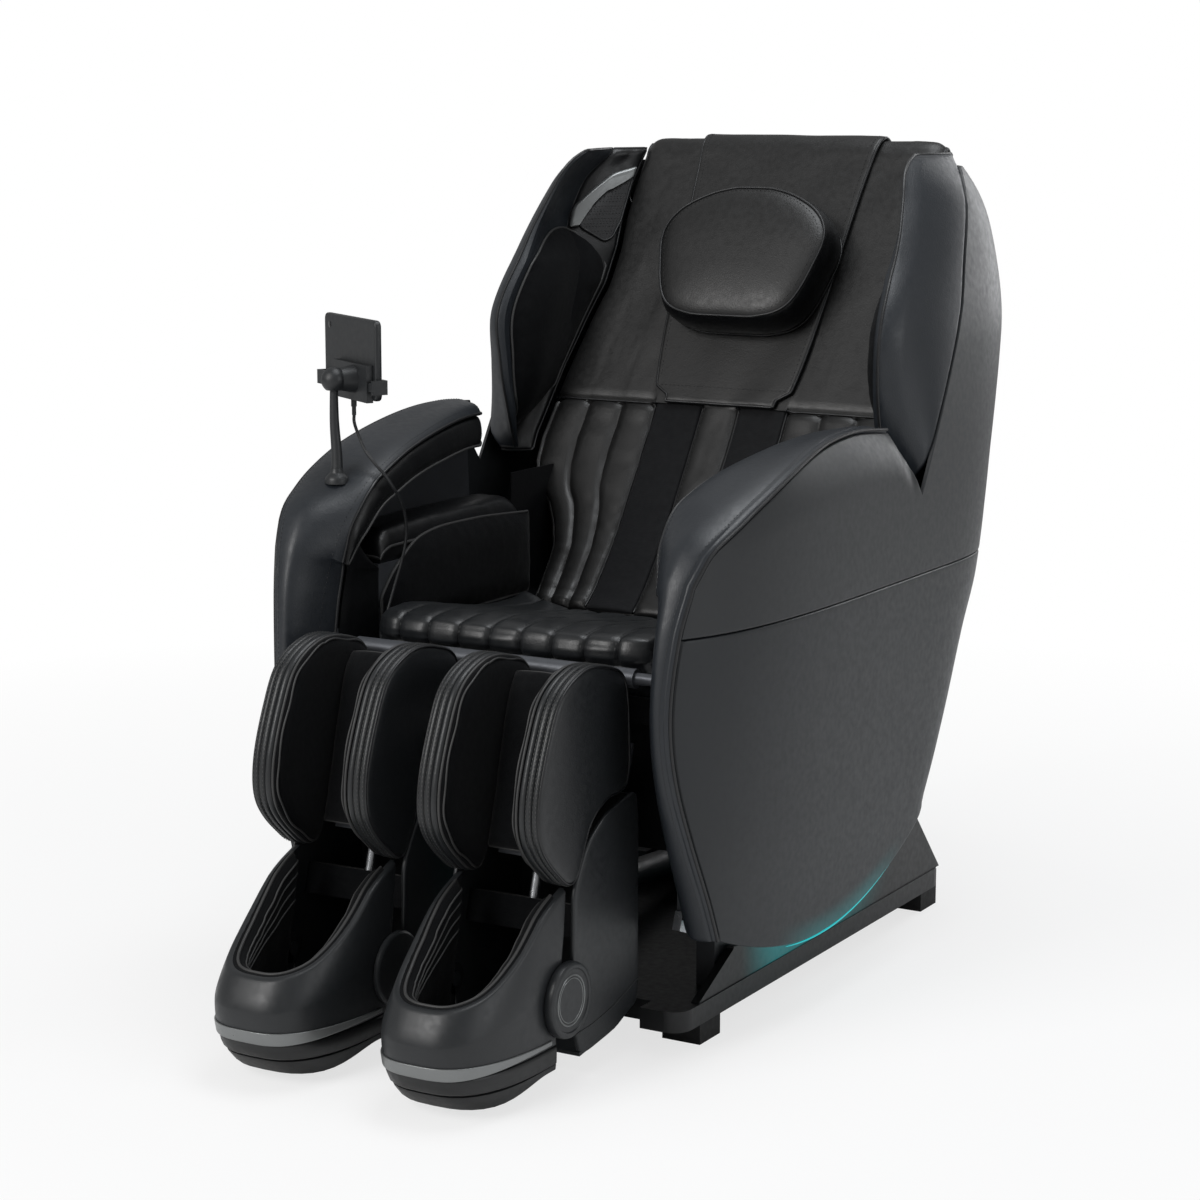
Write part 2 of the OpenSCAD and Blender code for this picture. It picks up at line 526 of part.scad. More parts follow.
module speakers() in_frame() color("#8d8f92") both_sides() intersection() {
  slab([for (z = speaker_z) [for (i = [0:4]) wing_in(z, i, speaker_t)]],
    [for (z = speaker_z) [for (i = [0:4]) wing_in(z, i, 0.5)]]);
  side_plate(200, 340, [[206, 1062], [206, 1104], [226, 1130], [290, 1138], [306, 1126], [306, 1062], [270, 1050]]);
}

// ---- seat ----
seat_of = [[-418, 532], [-398, 551], [-340, 552], [-250, 537], [-150, 517], [-60, 503], [-22, 500]];
seat_front = -416;
seat_deep = 392;
seat_v = [0, 0.015, 0.045, 0.12, 0.25, 0.42, 0.6, 0.78, 0.92, 1];
seat_edge = [[0, 16], [5, 6], [14, 0]];
seat_seam = 4;
seat_rib = 2 * (seat_half_w - 47) / seat_channels;
// Columns of the seat: [x, depth below the crown], with a dip at each sewn seam
seat_cols = [for (e = seat_edge) [e[0] - seat_half_w, e[1]],
  for (k = [0:seat_channels]) for (d = [-1:1]) [(k - seat_channels / 2) * seat_rib + d * seat_seam, d == 0 ? seat_channel : 0],
  for (i = [2:-1:0]) [seat_half_w - seat_edge[i][0], seat_edge[i][1]]];
function seat_y(x, v) = seat_front + seat_deep * v + 24 * pow(abs(x) / seat_half_w, 7) * max(0, 1 - v / 0.38);
seat_under = [[seat_front, 508], [-402, 508], [-394, pan_z + pan_t + 0.4], [0, pan_z + pan_t + 0.4]];
module seat_cushion() in_frame() color("#3d3f43") slab(
  [for (v = seat_v) [for (c = seat_cols) let (y = seat_y(c[0], v)) [c[0], y, curve(seat_of, y) - c[1]]]],
  [for (v = seat_v) [for (c = seat_cols) let (y = seat_y(c[0], v)) [c[0], y, lookup(y, seat_under)]]]);
module seat_apron() in_frame() color("#141517")
  block([-seat_half_w, -400, 436], [seat_half_w, -394.4, pan_z + pan_t - 0.4]);

// ---- back ----
back_path = [[-12, 503], [14, 524], [48, 561], [92, 617], [141, 690], [211, 797], [290, 930],
  [365, 1060], [412, 1138], [434, 1172], [455, 1184], [474, 1172], [480, 1150]];
back_u = [0, 0.7, 1.5, 2.4, 3.3, 4.2, 4.7, 5.1, 6, 7, 8, 8.6, 9.1, 9.6, 10.1, 10.6, 11.2, 12];
back_thick = [[0, 26], [2, back_t], [7, back_t], [8, 26], [9, 13], [9.6, 12], [12, 9]];
back_half = [[0, 214], [2.4, 222], [3.4, 234], [4.4, 266], [5, 270], [6, back_half_w + 4], [7, back_half_w], [12, back_half_w]];
back_c = [0, 0.1, 0.13, 0.3, 0.47, 0.5, 0.6, 0.66, 0.74, 0.8, 0.88, 0.95, 1];
back_groove = [0, 0, 0.7, 0.5, 0.5, 1, 0, 1, 0, 1, 0, 0.4, 2];
back_thin = 20;
function back_depth(u, i) = abs(i) <= 4 && u < 7.2 ? back_thin : lookup(u, back_thick);
function back_in(u) = let (d = heading(back_path, u)) [-d[1], d[0]];
function back_point(u, i, h) = let (q = along(back_path, u) + back_in(u) * h, k = abs(i))
  [sign(i) * back_c[k] * lookup(u, back_half), q[0], q[1]];
function quilt(u, i) = let (k = abs(i), low = u < 5 ? 1 : k == 12 ? 1 : 0)
  -back_channel * back_groove[k] * low;
module back_cushion() in_frame() color("#373639") slab(
  [for (u = back_u) [for (i = [-12:12]) back_point(u, i, quilt(u, i))]],
  [for (u = back_u) [for (i = [-12:12]) back_point(u, i, -back_depth(u, i))]]);
flap_u = [for (u = back_u) if (u >= 5) u];
flap_c = [-1, -0.9, -0.5, 0, 0.5, 0.9, 1];
function flap_point(u, c, h) = let (q = along(back_path, u) + back_in(u) * h)
  [c * flap_half_w * (u < 5.2 ? 0.93 : 1), q[0], q[1]];
module head_flap() in_frame() color("#363634") slab(
  [for (u = flap_u) [for (c = flap_c) flap_point(u, c, 5)]],
  [for (u = flap_u) [for (c = flap_c) flap_point(u, c, 0.8)]]);
pillow_u = 6.55;
pillow_half = [[-115, 0.36], [-106, 0.62], [-84, 0.8], [-20, 0.95], [35, 1], [75, 0.84], [104, 0.5], [115, 0.22]];
pillow_v = [-115, -106, -84, -50, -10, 35, 75, 104, 115];
pillow_c = [-1, -0.93, -0.7, -0.35, 0, 0.35, 0.7, 0.93, 1];
pillow_mid = along(back_path, pillow_u);
pillow_up = heading(back_path, pillow_u);
function pillow_point(c, v, h) = [c * pillow_w / 2 * curve(pillow_half, v),
  pillow_mid[0] + pillow_up[0] * v - pillow_up[1] * h, pillow_mid[1] + pillow_up[1] * v + pillow_up[0] * h];
module head_pillow() in_frame() color("#363634") slab(
  [for (v = pillow_v) [for (c = pillow_c) pillow_point(c, v, 6 + pillow_t * (0.55
    + 0.45 * (1 - pow(c, 4)) * (1 - pow(v / 116, 4))))]],
  [for (v = pillow_v) [for (c = pillow_c) pillow_point(c, v, 6)]]);

// ---- legs ----
leg_lean = 16.1;
// Places its children in the leg rest's own frame: origin on the hinge, z up along the calf
module leg_axes() translate([0, leg_pivot_y, leg_pivot_z]) rotate([-leg_lean, 0, 0]) children();
module in_leg() in_frame() leg_axes() children();
calf_outline = outline([[-574, 540], [-518, 536], [-470, 512], [-458, 440], [-464, 370], [-518, 358], [-561, 331],
  [-600, 267], [-645, 290], [-683, 336], [-686, 392], [-662, 462], [-630, 515]], 20);
calf_mid = [-575, 410];
function calf_ring(x, k) = [for (q = calf_outline) let (p = calf_mid + (q - calf_mid) * k) [x, p[0], p[1]]];
// Pad between x0 (flat face) and x1 (face with a crown of the given depth)
module calf_pad(x0, x1, depth) let (d = x1 > x0 ? depth : -depth) loft([calf_ring(x0, 1),
    calf_ring(x1 - 2 * d, 1), calf_ring(x1 - 1.2 * d, 0.97), calf_ring(x1 - 0.7 * d, 0.86)],
  [x0, calf_mid[0], calf_mid[1]], [x1 - 0.3 * d, calf_mid[0], calf_mid[1]]);
leg_out = leg_x + leg_half_w;
leg_inner = leg_x - leg_half_w;
module calf_walls() color("#2e3034") {
  calf_pad(leg_out - calf_wall, leg_out, 5);
  calf_pad(leg_inner + calf_wall, leg_inner, 5);
}
module calf_walls_left() in_frame() calf_walls();
module calf_walls_right() in_frame() right_side() calf_walls();
module calf_linings() in_frame() color("#0c0d10") both_sides() {
  calf_pad(leg_out - calf_wall - 0.3, leg_out - calf_wall - 0.3 - lining_t, 3);
  calf_pad(leg_inner + calf_wall + 0.3, leg_inner + calf_wall + 0.3 + lining_t, 3);
}
calf_path = [[-524, 546], [-548, 505], [-566, 440], [-584, 370], [-604, 300]];
calf_u = [0, 0.6, 1.3, 2.2, 3.2, 4];
calf_c = [-1, -0.7, 0, 0.7, 1];
calf_half = leg_half_w - calf_wall - lining_t - 1;
calf_depth = 40;
function calf_point(u, c, h) = let (q = along(calf_path, u), d = heading(calf_path, u))
  [leg_x + c * calf_half, q[0] + d[1] * h, q[1] - d[0] * h];
module calf_cushions() in_frame() color("#0c0d10") both_sides() slab(
  [for (u = calf_u) [for (c = calf_c) calf_point(u, c, 6 - 10 * pow(c, 2))]],
  [for (u = calf_u) [for (c = calf_c) calf_point(u, c, -calf_depth)]]);
module leg_frame() in_leg() color("#6f7276") difference() {
  union() {
    side_disc(-222, 222, 0, 0, 13);
    for (sx = [-1, 1]) {
      // channel behind each calf cushion, with the bushing of its slide rod
      side_plate(sx * leg_x - calf_half, sx * leg_x + calf_half, [[-8, -10], [8, -10], [-50, -60], [-60, -60]]);
      block([sx * leg_x - calf_half, -60, -250], [sx * leg_x + calf_half, -55, -58]);
      block([sx * leg_x - 20, -56, -250], [sx * leg_x + 20, -10, -205]);
      // ribs and bar that the wall pads are fixed to
      for (x = [-30, 30]) side_plate(sx * leg_x + x - 3, sx * leg_x + x + 3, [[-58, -62], [-12, -22], [8, -62],
        [17, -84], [20, -120], [-58, -150]]);
      block([sx * leg_x - leg_half_w + 4, 14.2, -122], [sx * leg_x + leg_half_w - 4, 19, -84]);
    }
    // lugs and pin that the leg rod pushes
    for (sx = [-1, 1]) side_plate(sx * 16 - 3, sx * 16 + 3, [[-10, -6], [10, 2], [46, -68], [36, -84], [26, -80]]);
    side_disc(-19, 19, 35.2, -71.9, 6);
  }
  side_disc(-223, 223, 0, 0, leg_shaft_r + 0.05);
  for (sx = [-1, 1]) translate([sx * leg_x, rod_y, -260]) cylinder(h = 200, r = rod_r + 0.05);
}
rod_y = -28;
rod_r = 8;
rod_low = -345;
rod_high = -66;
module slide_rods() in_leg() color("#b4b7ba") for (sx = [-1, 1])
  translate([sx * leg_x, rod_y, rod_low]) cylinder(h = rod_high - rod_low, r = rod_r);

// ---- foot unit ----
ankle_y = -632;
ankle_z = 122;
ankle_pin_r = 10;
shell_side = [[-605, 255], [-572, 310], [-524, 340], [-470, 352], [-446, 356], [-438, 322], [-438, 66], [-462, 58],
  [-499, 43], [-590, 31], [-606, 80], [-612, 122], [-606, 200]];
module lower_shell() color("#33353a") {
  difference() {
    side_plate(leg_inner, leg_out, shell_side);
    side_plate(leg_inner + shell_wall, leg_out - shell_wall,
      [[-640, 52], [-500, 56], [-446, 76], [-446, 400], [-640, 400]]);
  }
  // bulkhead that the slide rod is held in
  difference() {
    leg_axes() block([leg_inner + shell_wall - 1, rod_y - 20, rod_low], [leg_out - shell_wall + 1, rod_y + 20, rod_low + 42]);
    leg_axes() translate([leg_x, rod_y, rod_low - 1]) cylinder(h = 60, r = rod_r + 0.02);
  }
}
module lower_shell_left() in_frame() lower_shell();
module lower_shell_right() in_frame() right_side() lower_shell();
module pivot_discs() in_frame() color("#3c3e41") both_sides() {
  side_disc(leg_out, leg_out + 14, ankle_y, ankle_z, disc_r);
  side_disc(leg_out - 24, leg_out, ankle_y, ankle_z, ankle_pin_r);
  side_disc(leg_inner - 9, leg_inner, ankle_y, ankle_z, disc_r);
  side_disc(leg_inner, leg_inner + 24, ankle_y, ankle_z, ankle_pin_r);
}
toe_of = [[12, -800], [38, -822], [64, -834], [104, -840], [150, -826], [200, -800]];
rim_of = [[-840, 146], [-790, 163], [-720, 203], [-650, 243], [-606, 262]];
heel_of = [[12, -650], [64, -648], [122, -646], [262, -608]];
foot_a = [0, 5, 14, 26, 40, 56, 72, 84, 90, 96, 108, 124, 140, 154, 166, 175, 180];
foot_mid = -668;
shoe_half = leg_half_w - 0.5;
function foot_xy(a, z, t) = [leg_x + (shoe_half - t) * sign(cos(a)) * pow(abs(cos(a)), 0.66),
  foot_mid + (curve(toe_of, z) + t - foot_mid) * pow(sin(a), 0.86)];
function foot_wall_row(v, t) = [
  for (h = [0, 0.5]) let (z = lerp(64, curve(rim_of, lerp(-608, foot_mid, h)), v))
    [leg_x + shoe_half - t, lerp(lookup(z, heel_of), foot_mid, h), z],
  for (a = foot_a) let (q = foot_xy(a, 105, 0), z = lerp(64, curve(rim_of, q[1]), v), p = foot_xy(a, z, t))
    [p[0], p[1], z],
  for (h = [0.5, 0]) let (z = lerp(64, curve(rim_of, lerp(-608, foot_mid, h)), v))
    [leg_x - shoe_half + t, lerp(lookup(z, heel_of), foot_mid, h), z]];
foot_v = [0, 0.25, 0.5, 0.75, 0.92, 1];
module foot_shell() color("#3e4042") slab([for (v = foot_v) foot_wall_row(v, 0)],
  [for (v = foot_v) foot_wall_row(v, shoe_wall)]);
module foot_shell_left() in_frame() foot_shell();
module foot_shell_right() in_frame() right_side() foot_shell();
function sole_plan(z, t) = [[leg_x + shoe_half - t, -650], for (a = foot_a) foot_xy(a, z, t), [leg_x - shoe_half + t, -650]];
module foot_soles() in_frame() color("#1d1e20") both_sides() difference() {
  union() {
    translate([0, 0, 12]) linear_extrude(25) polygon(sole_plan(24, 6));
    translate([0, 0, 37]) linear_extrude(27) polygon(sole_plan(52, 0));
    for (x = [leg_out - 22, leg_inner + 12]) {
      side_disc(x, x + 10, ankle_y, ankle_z, 22);
      block([x, ankle_y - 22, 50], [x + 10, ankle_y, ankle_z]);
    }
  }
  side_disc(leg_inner, leg_out, ankle_y, ankle_z, ankle_pin_r + 0.05);
}

// ---- fabric wells and trim of the foot boxes ----
function well_row(v, t) = [for (a = [8, 26, 50, 74, 90, 106, 130, 154, 172]) let (
    q = foot_xy(a, 105, 0), z = lerp(66, curve(rim_of, q[1]) - 3, v), p = foot_xy(a, z, t)) [p[0], p[1], z]];
module foot_liners() in_frame() color("#0b0c0e") both_sides() slab(
  [for (v = [0, 0.45, 0.85, 1]) well_row(v, shoe_wall + 2)],
  [for (v = [0, 0.45, 0.85, 1]) well_row(v, shoe_wall + 2 + liner_t * (v < 1 ? 1 : 0.4))]);
liner_t = 12;
stripe_h = [[-842, 7], [-700, 6], [-660, 4]];
stripe_a = [3, 14, 26, 40, 56, 72, 84, 90, 96, 108, 124, 140, 154, 166, 177];
function stripe_row(dz, t) = [for (a = stripe_a) let (q = foot_xy(a, 105, 0), h = lookup(q[1], stripe_h),
  z = 66 + h + dz * h, p = foot_xy(a, z, t)) [p[0], p[1], z]];
module foot_trim() in_frame() color("#8e908d") both_sides() slab(
  [for (dz = [-1, 1]) stripe_row(dz, -2)], [for (dz = [-1, 1]) stripe_row(dz, -0.3)]);

// ---- drives ----
// Rear pivot of the recline actuator, on the tray
drive_y = 250;
drive_z = 95;
drive_tilt = 3.8;
drive_len = 437;
lug_r = rail_r - 10;
lug_pin_r = 7;
eye_play = 2.6;
eye_reach = 8;
module in_drive() in_frame() translate([0, drive_y, drive_z]) rotate([-drive_tilt, 0, 0]) children();
module along_y(y0, y1, x, z, r) translate([x, y0, z]) rotate([-90, 0, 0]) cylinder(h = y1 - y0, r = r);
module recline_drive() in_drive() color("#3a3c40") difference() {
  union() {
    along_y(-345, -24, 0, 0, 21);
    block([-12, -28, -12], [12, 8, 12]);
    along_y(-190, -40, 46, 0, 22);
    block([0, -70, -16], [46, -40, 16]);
  }
  along_y(-346, -56, 0, 0, 10.05);
  side_disc(-13, 13, 0, 0, 6.05);
}
module recline_rod() in_drive() color("#b4b7ba") difference() {
  union() {
    along_y(-drive_len + 12, -67, 0, 0, 10);
    block([-12, -drive_len - 17, -lug_pin_r - eye_play - eye_reach - 9],
      [12, -drive_len + 17, lug_pin_r + eye_play + eye_reach + 9]);
  }
  for (sz = [-1, 1]) side_disc(-13, 13, -drive_len, sz * eye_reach, lug_pin_r + eye_play);
  block([-13, -drive_len - lug_pin_r - eye_play, -eye_reach], [13, -drive_len + lug_pin_r + eye_play, eye_reach]);
}
module control_box() in_frame() color("#232427") {
  block([-225, 70, tray_top + 0.3], [-50, 230, 112]);
  for (k = [0:5]) block([-210 + k * 26, 90, 112], [-198 + k * 26, 210, 114]);
}
inlet_x = -150;
module power_inlet() in_frame() color("#17181a") difference() {
  union() {
    block([inlet_x - 44, tray_rear, 36], [inlet_x + 40, tray_rear + 14, 60]);
  }
  block([inlet_x - 38, tray_rear + 3, 39], [inlet_x - 10, tray_rear + 15, 57]);
  side_disc(inlet_x + 11, inlet_x + 33, tray_rear + 8, 48, 8.3);
}
module power_switch() in_frame() color("#8c1d1d") difference() {
  side_disc(inlet_x + 11.3, inlet_x + 32.7, tray_rear + 8, 48, 8);
  translate([inlet_x, tray_rear + 24, 48]) rotate([45, 0, 0]) block([0, -11, -11], [40, 11, 11]);
}
// Leg rest actuator: rear end on a cross tube, front end on the leg frame's lug
leg_drive_dir = -30;
leg_eye_y = -430.8;
leg_eye_z = 418.1;
module in_leg_drive() in_frame() translate([0, leg_eye_y, leg_eye_z]) rotate([leg_drive_dir, 0, 0]) children();
module leg_drive() in_leg_drive() color("#3a3c40") difference() {
  union() {
    along_y(62, 250, 0, 0, 20);
    block([-10, 249, -10], [10, leg_drive_back, 10]);
    along_y(120, 240, 40, 0, 19);
    block([0, 200, -14], [40, 230, 14]);
  }
  along_y(61, 240, 0, 0, 8.05);
}
leg_drive_back = (frame_tubes[1][0] - leg_eye_y) * cos(leg_drive_dir)
  + (frame_tubes[1][1] - leg_eye_z) * sin(leg_drive_dir) - tube_r - 0.3;
module leg_rod() in_leg_drive() color("#b4b7ba") difference() {
  union() {
    along_y(10, 220, 0, 0, 8);
    block([-9, -15, -26], [9, 13, 26]);
  }
  for (sz = [-1, 1]) side_disc(-10, 10, 0, sz * 10.5, 8.8);
  block([-10, -8.8, -10.5], [10, 8.8, 10.5]);
}

// ---- light strips ----
module light_strips() in_frame() color("#33595c") both_sides() translate([362, -rock_y, rock_z])
  rotate([90, 0, 90]) mirror([0, 0, 1]) rotate([0, 0, -92]) rotate_extrude(angle = 28, $fn = 180)
    translate([panel_r - 12, 0]) square([9, 8]);

// ---- tablet and its holder, on the sitter's right arm ----
ball = [-290, -394, 867];
holder_turn = -31.5;
stalk_foot = [-286, -396, 722];
stalk_flange = 17;
stalk_route = [stalk_foot + [0, 0, 2], [-287, -394, 760], [-291, -393, 810], ball];
function ring(p, u, r, n) = let (c = along(p, u), h = heading(p, u), a = cross(h, [1, 0, 0]), e = a / norm(a),
  f = cross(h, e)) [for (k = [0:n - 1]) c + r * (e * cos(360 * k / n) + f * sin(360 * k / n))];
module holder_stalk() in_frame() color("#2d3034") {
  loft([for (k = [0:10]) ring(stalk_route, k * 0.29, lerp(stalk_r1, stalk_r2, k / 10), 14)],
    along(stalk_route, 0), along(stalk_route, 2.9));
  translate(ball) sphere(ball_r);
  translate(stalk_foot) cylinder(h = 16, r = stalk_flange);
}
module in_holder() in_frame() translate(ball) rotate([0, 0, holder_turn]) children();
tablet_mid = [-34, 44, 28];
jaw_z = -8;
relief = [-10, 34, -30];
relief_l = 22;
module tablet_bracket() in_holder() color("#2f3236") difference() {
  union() {
    // strain relief of the cable
    translate(relief) rotate([180, 0, 0]) translate([0, 0, -1]) {
      cylinder(h = 11, r = 4);
      cylinder(h = relief_l + 1, r = 3);
    }
    sphere(ball_r + 5);
    translate([0, 8, 0]) rotate([-90, 0, 0]) cylinder(h = 22, r1 = 16, r2 = 20);
    block([-70, 29, -30], [47, plate_y, 22]);
    block([plate_left - 6, 29, jaw_z - 10], [-69, 34, jaw_z + 10]);
    block([plate_left - 6, 29, jaw_z - 10], [plate_left - 0.4, tablet_front + 5, jaw_z + 10]);
    block([plate_left - 6, tablet_front + 0.4, jaw_z - 10], [plate_left + 10, tablet_front + 5, jaw_z + 10]);
  }
  sphere(ball_r + 0.05);
  translate([0, 0, -40]) cylinder(h = 40, r = 11);
  block([4, 31, jaw_z - 6.3], [60, 36, jaw_z + 6.3]);
}
plate_y = tablet_mid[1] - tablet_t / 2 - 0.4;
plate_left = tablet_mid[0] - tablet_l / 2;
plate_right = tablet_mid[0] + tablet_l / 2;
tablet_front = tablet_mid[1] + tablet_t / 2;
module tablet() in_holder() color("#232529") translate(tablet_mid) difference() {
  block([-tablet_l / 2, -tablet_t / 2, -tablet_h / 2], [tablet_l / 2, tablet_t / 2, tablet_h / 2]);
  block([-tablet_l / 2 + 9, tablet_t / 2 - 0.6, -tablet_h / 2 + 9], [tablet_l / 2 - 9, tablet_t / 2 + 1, tablet_h / 2 - 9]);
}
module clamp_jaw() in_holder() color("#4a4d52") {
  block([30, 31.3, jaw_z - 6], [plate_right + 6, 35.7, jaw_z + 6]);
  block([plate_right + 0.4, 31.3, jaw_z - 10], [plate_right + 6, tablet_front + 5, jaw_z + 10]);
  block([plate_right - 10, tablet_front + 0.4, jaw_z - 10], [plate_right + 6, tablet_front + 5, jaw_z + 10]);
}
cable_r = 2.3;
cable_top = ball + [relief[0] * cos(holder_turn) - relief[1] * sin(holder_turn),
  relief[0] * sin(holder_turn) + relief[1] * cos(holder_turn), relief[2] - relief_l - 0.1];
cable_route = [cable_top, cable_top - [0, 0, 10], [-275, -360, 790], [-262, -362, 768], [-246, -362, 750],
  [-233, -358, 735], [-225, -349, 717], [-221, -334, 694], [-221, -323, 668], [-222, -321, 640],
  [-223, -331, 608], [-225, -349, 570], [-227, -366, 532], [-229, -377, 500], [-230, -380, 482], [-230, -380, 472.4]];
module tablet_cable() in_frame() color("#2a2c2f") loft(
  [for (k = [0:44]) ring(cable_route, k * 15 / 44, cable_r, 8)], cable_route[0], cable_route[15]);

base_tray();
base_skirt();
base_feet();
glide_shoes();
control_box();
power_inlet();
power_switch();
recline_drive();
recline_rod();
arc_rails();
seat_frame();
arm_frames();
back_frame();
track_rods();
leg_hinge_shaft();
leg_drive();
leg_rod();
side_panel_left();
side_panel_right();
upper_cover_left();
upper_cover_right();
rear_cover();
light_strips();
arm_band_left();
arm_band_right();
arm_rolls();
arm_rest_pads();
hip_pads();
wing_pad_left();
wing_pad_right();
shoulder_pads();
speakers();
seat_cushion();
seat_apron();
back_cushion();
head_flap();
head_pillow();
massage_carriage();
massage_arms();
massage_rollers_upper();
massage_rollers_lower();
leg_frame();
calf_walls_left();
calf_walls_right();
calf_linings();
calf_cushions();
lower_shell_left();
lower_shell_right();
slide_rods();
pivot_discs();
foot_shell_left();
foot_shell_right();
foot_soles();
foot_liners();
foot_trim();
holder_stalk();
tablet_bracket();
tablet();
clamp_jaw();
tablet_cable();
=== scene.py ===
"""Looks of the massage chair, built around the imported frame; lengths are in mm until P() is called."""
from math import cos, exp, floor, pi, radians, sin, sqrt

import bmesh
import bpy
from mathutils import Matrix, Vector, noise


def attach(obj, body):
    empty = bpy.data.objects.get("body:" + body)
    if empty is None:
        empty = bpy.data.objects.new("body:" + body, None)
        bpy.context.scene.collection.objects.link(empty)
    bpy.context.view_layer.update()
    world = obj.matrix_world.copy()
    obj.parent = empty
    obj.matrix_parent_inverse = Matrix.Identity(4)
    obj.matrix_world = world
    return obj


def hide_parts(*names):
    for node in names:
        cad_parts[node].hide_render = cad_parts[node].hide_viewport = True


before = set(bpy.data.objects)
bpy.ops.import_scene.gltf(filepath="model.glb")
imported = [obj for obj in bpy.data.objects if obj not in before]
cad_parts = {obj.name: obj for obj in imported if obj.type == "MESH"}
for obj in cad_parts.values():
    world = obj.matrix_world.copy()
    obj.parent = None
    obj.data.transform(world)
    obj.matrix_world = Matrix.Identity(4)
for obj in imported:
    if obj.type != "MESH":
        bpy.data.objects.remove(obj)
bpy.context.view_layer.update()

# the points below are written from an origin that lies this far behind the frame's, in mm
FRAME_Y = 150


def add(name, data):
    """An object with this data, linked to the scene."""
    obj = bpy.data.objects.new(name, data)
    bpy.context.scene.collection.objects.link(obj)
    return obj


# ----- camera
AZ, PITCH = radians(30.34), radians(10.38)
camera = bpy.context.scene.camera = add("camera", bpy.data.cameras.new("camera"))
camera.data.lens, camera.data.sensor_width, camera.data.clip_end = 85.97, 36, 60
camera.location = (2.0387, -3.4896, 1.2840)
sight = Vector((-sin(AZ) * cos(PITCH), cos(AZ) * cos(PITCH), -sin(PITCH)))
camera.rotation_euler = sight.to_track_quat("-Z", "Y").to_euler()


# ----- curves
def P(x, y, z):
    """A point in mm as a place in the frame, in metres."""
    return Vector((x, y + FRAME_Y, z)) * 0.001


def lerp(a, b, t):
    return a + (b - a) * t


def clamp(v, low=0.0, high=1.0):
    return min(max(v, low), high)


def hermite(a, b, ma, mb, t):
    return (a * (1 + 2 * t) * (1 - t) ** 2 + ma * t * (1 - t) ** 2
            + b * t * t * (3 - 2 * t) - mb * t * t * (1 - t))


def curve(points, v):
    """Smooth curve through [position, value] points."""
    def slope(i):
        a, b = points[max(i - 1, 0)], points[min(i + 1, len(points) - 1)]
        return (b[1] - a[1]) / (b[0] - a[0])
    i = max([j for j in range(len(points) - 1) if v >= points[j][0]] or [0])
    h = points[i + 1][0] - points[i][0]
    return hermite(points[i][1], points[i + 1][1], slope(i) * h, slope(i + 1) * h,
                   clamp((v - points[i][0]) / h))


def lookup(points, v):
    """Straight lines through [position, value] points."""
    for a, b in zip(points, points[1:]):
        if v <= b[0]:
            return lerp(a[1], b[1], clamp((v - a[0]) / (b[0] - a[0])))
    return points[-1][1]


def along(path, u):
    """Smooth path through Vectors, at parameter u from 0 to the last index."""
    i = min(int(floor(u)), len(path) - 2)
    m0, m1 = (path[i + 1] - path[max(i - 1, 0)]) / 2, (path[min(i + 2, len(path) - 1)] - path[i]) / 2
    return hermite(path[i], path[i + 1], m0, m1, u - i)


def heading(path, u):
    """Direction of a path at parameter u."""
    return (along(path, min(u + 0.01, len(path) - 1 - 1e-6)) - along(path, max(u - 0.01, 0))).normalized()


def vectors(points):
    return [Vector(p) for p in points]


def girth(line):
    """Length of a closed line."""
    return sum((a - b).length for a, b in zip(line, line[1:] + line[:1]))


def circle(x, y, z, r, n, across="z"):
    """Ring of n points round (x, y, z), in the plane across the X or the Z axis."""
    turns = [2 * pi * k / n for k in range(n)]
    if across == "x":
        return [Vector((x, y + r * cos(a), z + r * sin(a))) for a in turns]
    return [Vector((x, y, z)) + Vector((r * cos(a), r * sin(a), 0)) for a in turns]


def ripple(a, b, c):
    """Smooth unevenness from about -1 to 1."""
    return noise.noise(Vector((a, b, c)))


def crown(c, power):
    """1 in the middle of 0..1 and 0 at its ends; a high power keeps the middle flat."""
    return 1 - abs(2 * c - 1) ** power


def spread(n, low=0.0, high=1.0):
    """n even steps from low to high."""
    return [lerp(low, high, k / n) for k in range(n + 1)]


def fine(n, edge=0.06):
    """n even steps over 0..1, with close ones inside the two edges."""
    close = [edge * t for t in (0, 0.03, 0.12, 0.28, 0.52, 0.8)]
    return close + spread(n, edge, 1 - edge) + [1 - t for t in reversed(close)]


# ----- closed meshes: (vertices, faces, material index)
def slab(front, back):
    """Closed solid between two grids of points with the same rows and columns."""
    r, c = len(front), len(front[0])
    n = r * c
    verts = [p for g in (front, back) for row in g for p in row]
    faces = []
    for i in range(r - 1):
        for j in range(c - 1):
            a = i * c + j
            faces += [(a, a + 1, a + c + 1, a + c), (n + a + c, n + a + c + 1, n + a + 1, n + a)]
    for i in range(r - 1):
        a, b = i * c, i * c + c - 1
        faces += [(a, a + c, n + a + c, n + a), (b + c, b, n + b, n + b + c)]
    for j in range(c - 1):
        a, b = j, (r - 1) * c + j
        faces += [(a + 1, a, n + a, n + a + 1), (b, b + 1, n + b + 1, n + b)]
    return verts, faces, 0


def loft(rings, mat=0, closed=False):
    """Closed solid through closed rings; closed joins the last ring to the first."""
    m, r = len(rings[0]), len(rings)
    verts = [p for ring in rings for p in ring]
    faces = []
    for i in range(r if closed else r - 1):
        for j in range(m):
            a, b = i * m, ((i + 1) % r) * m
            k = (j + 1) % m
            faces.append((a + j, a + k, b + k, b + j))
    if not closed:
        faces += [tuple(range(m - 1, -1, -1)), tuple((r - 1) * m + j for j in range(m))]
    return verts, faces, mat


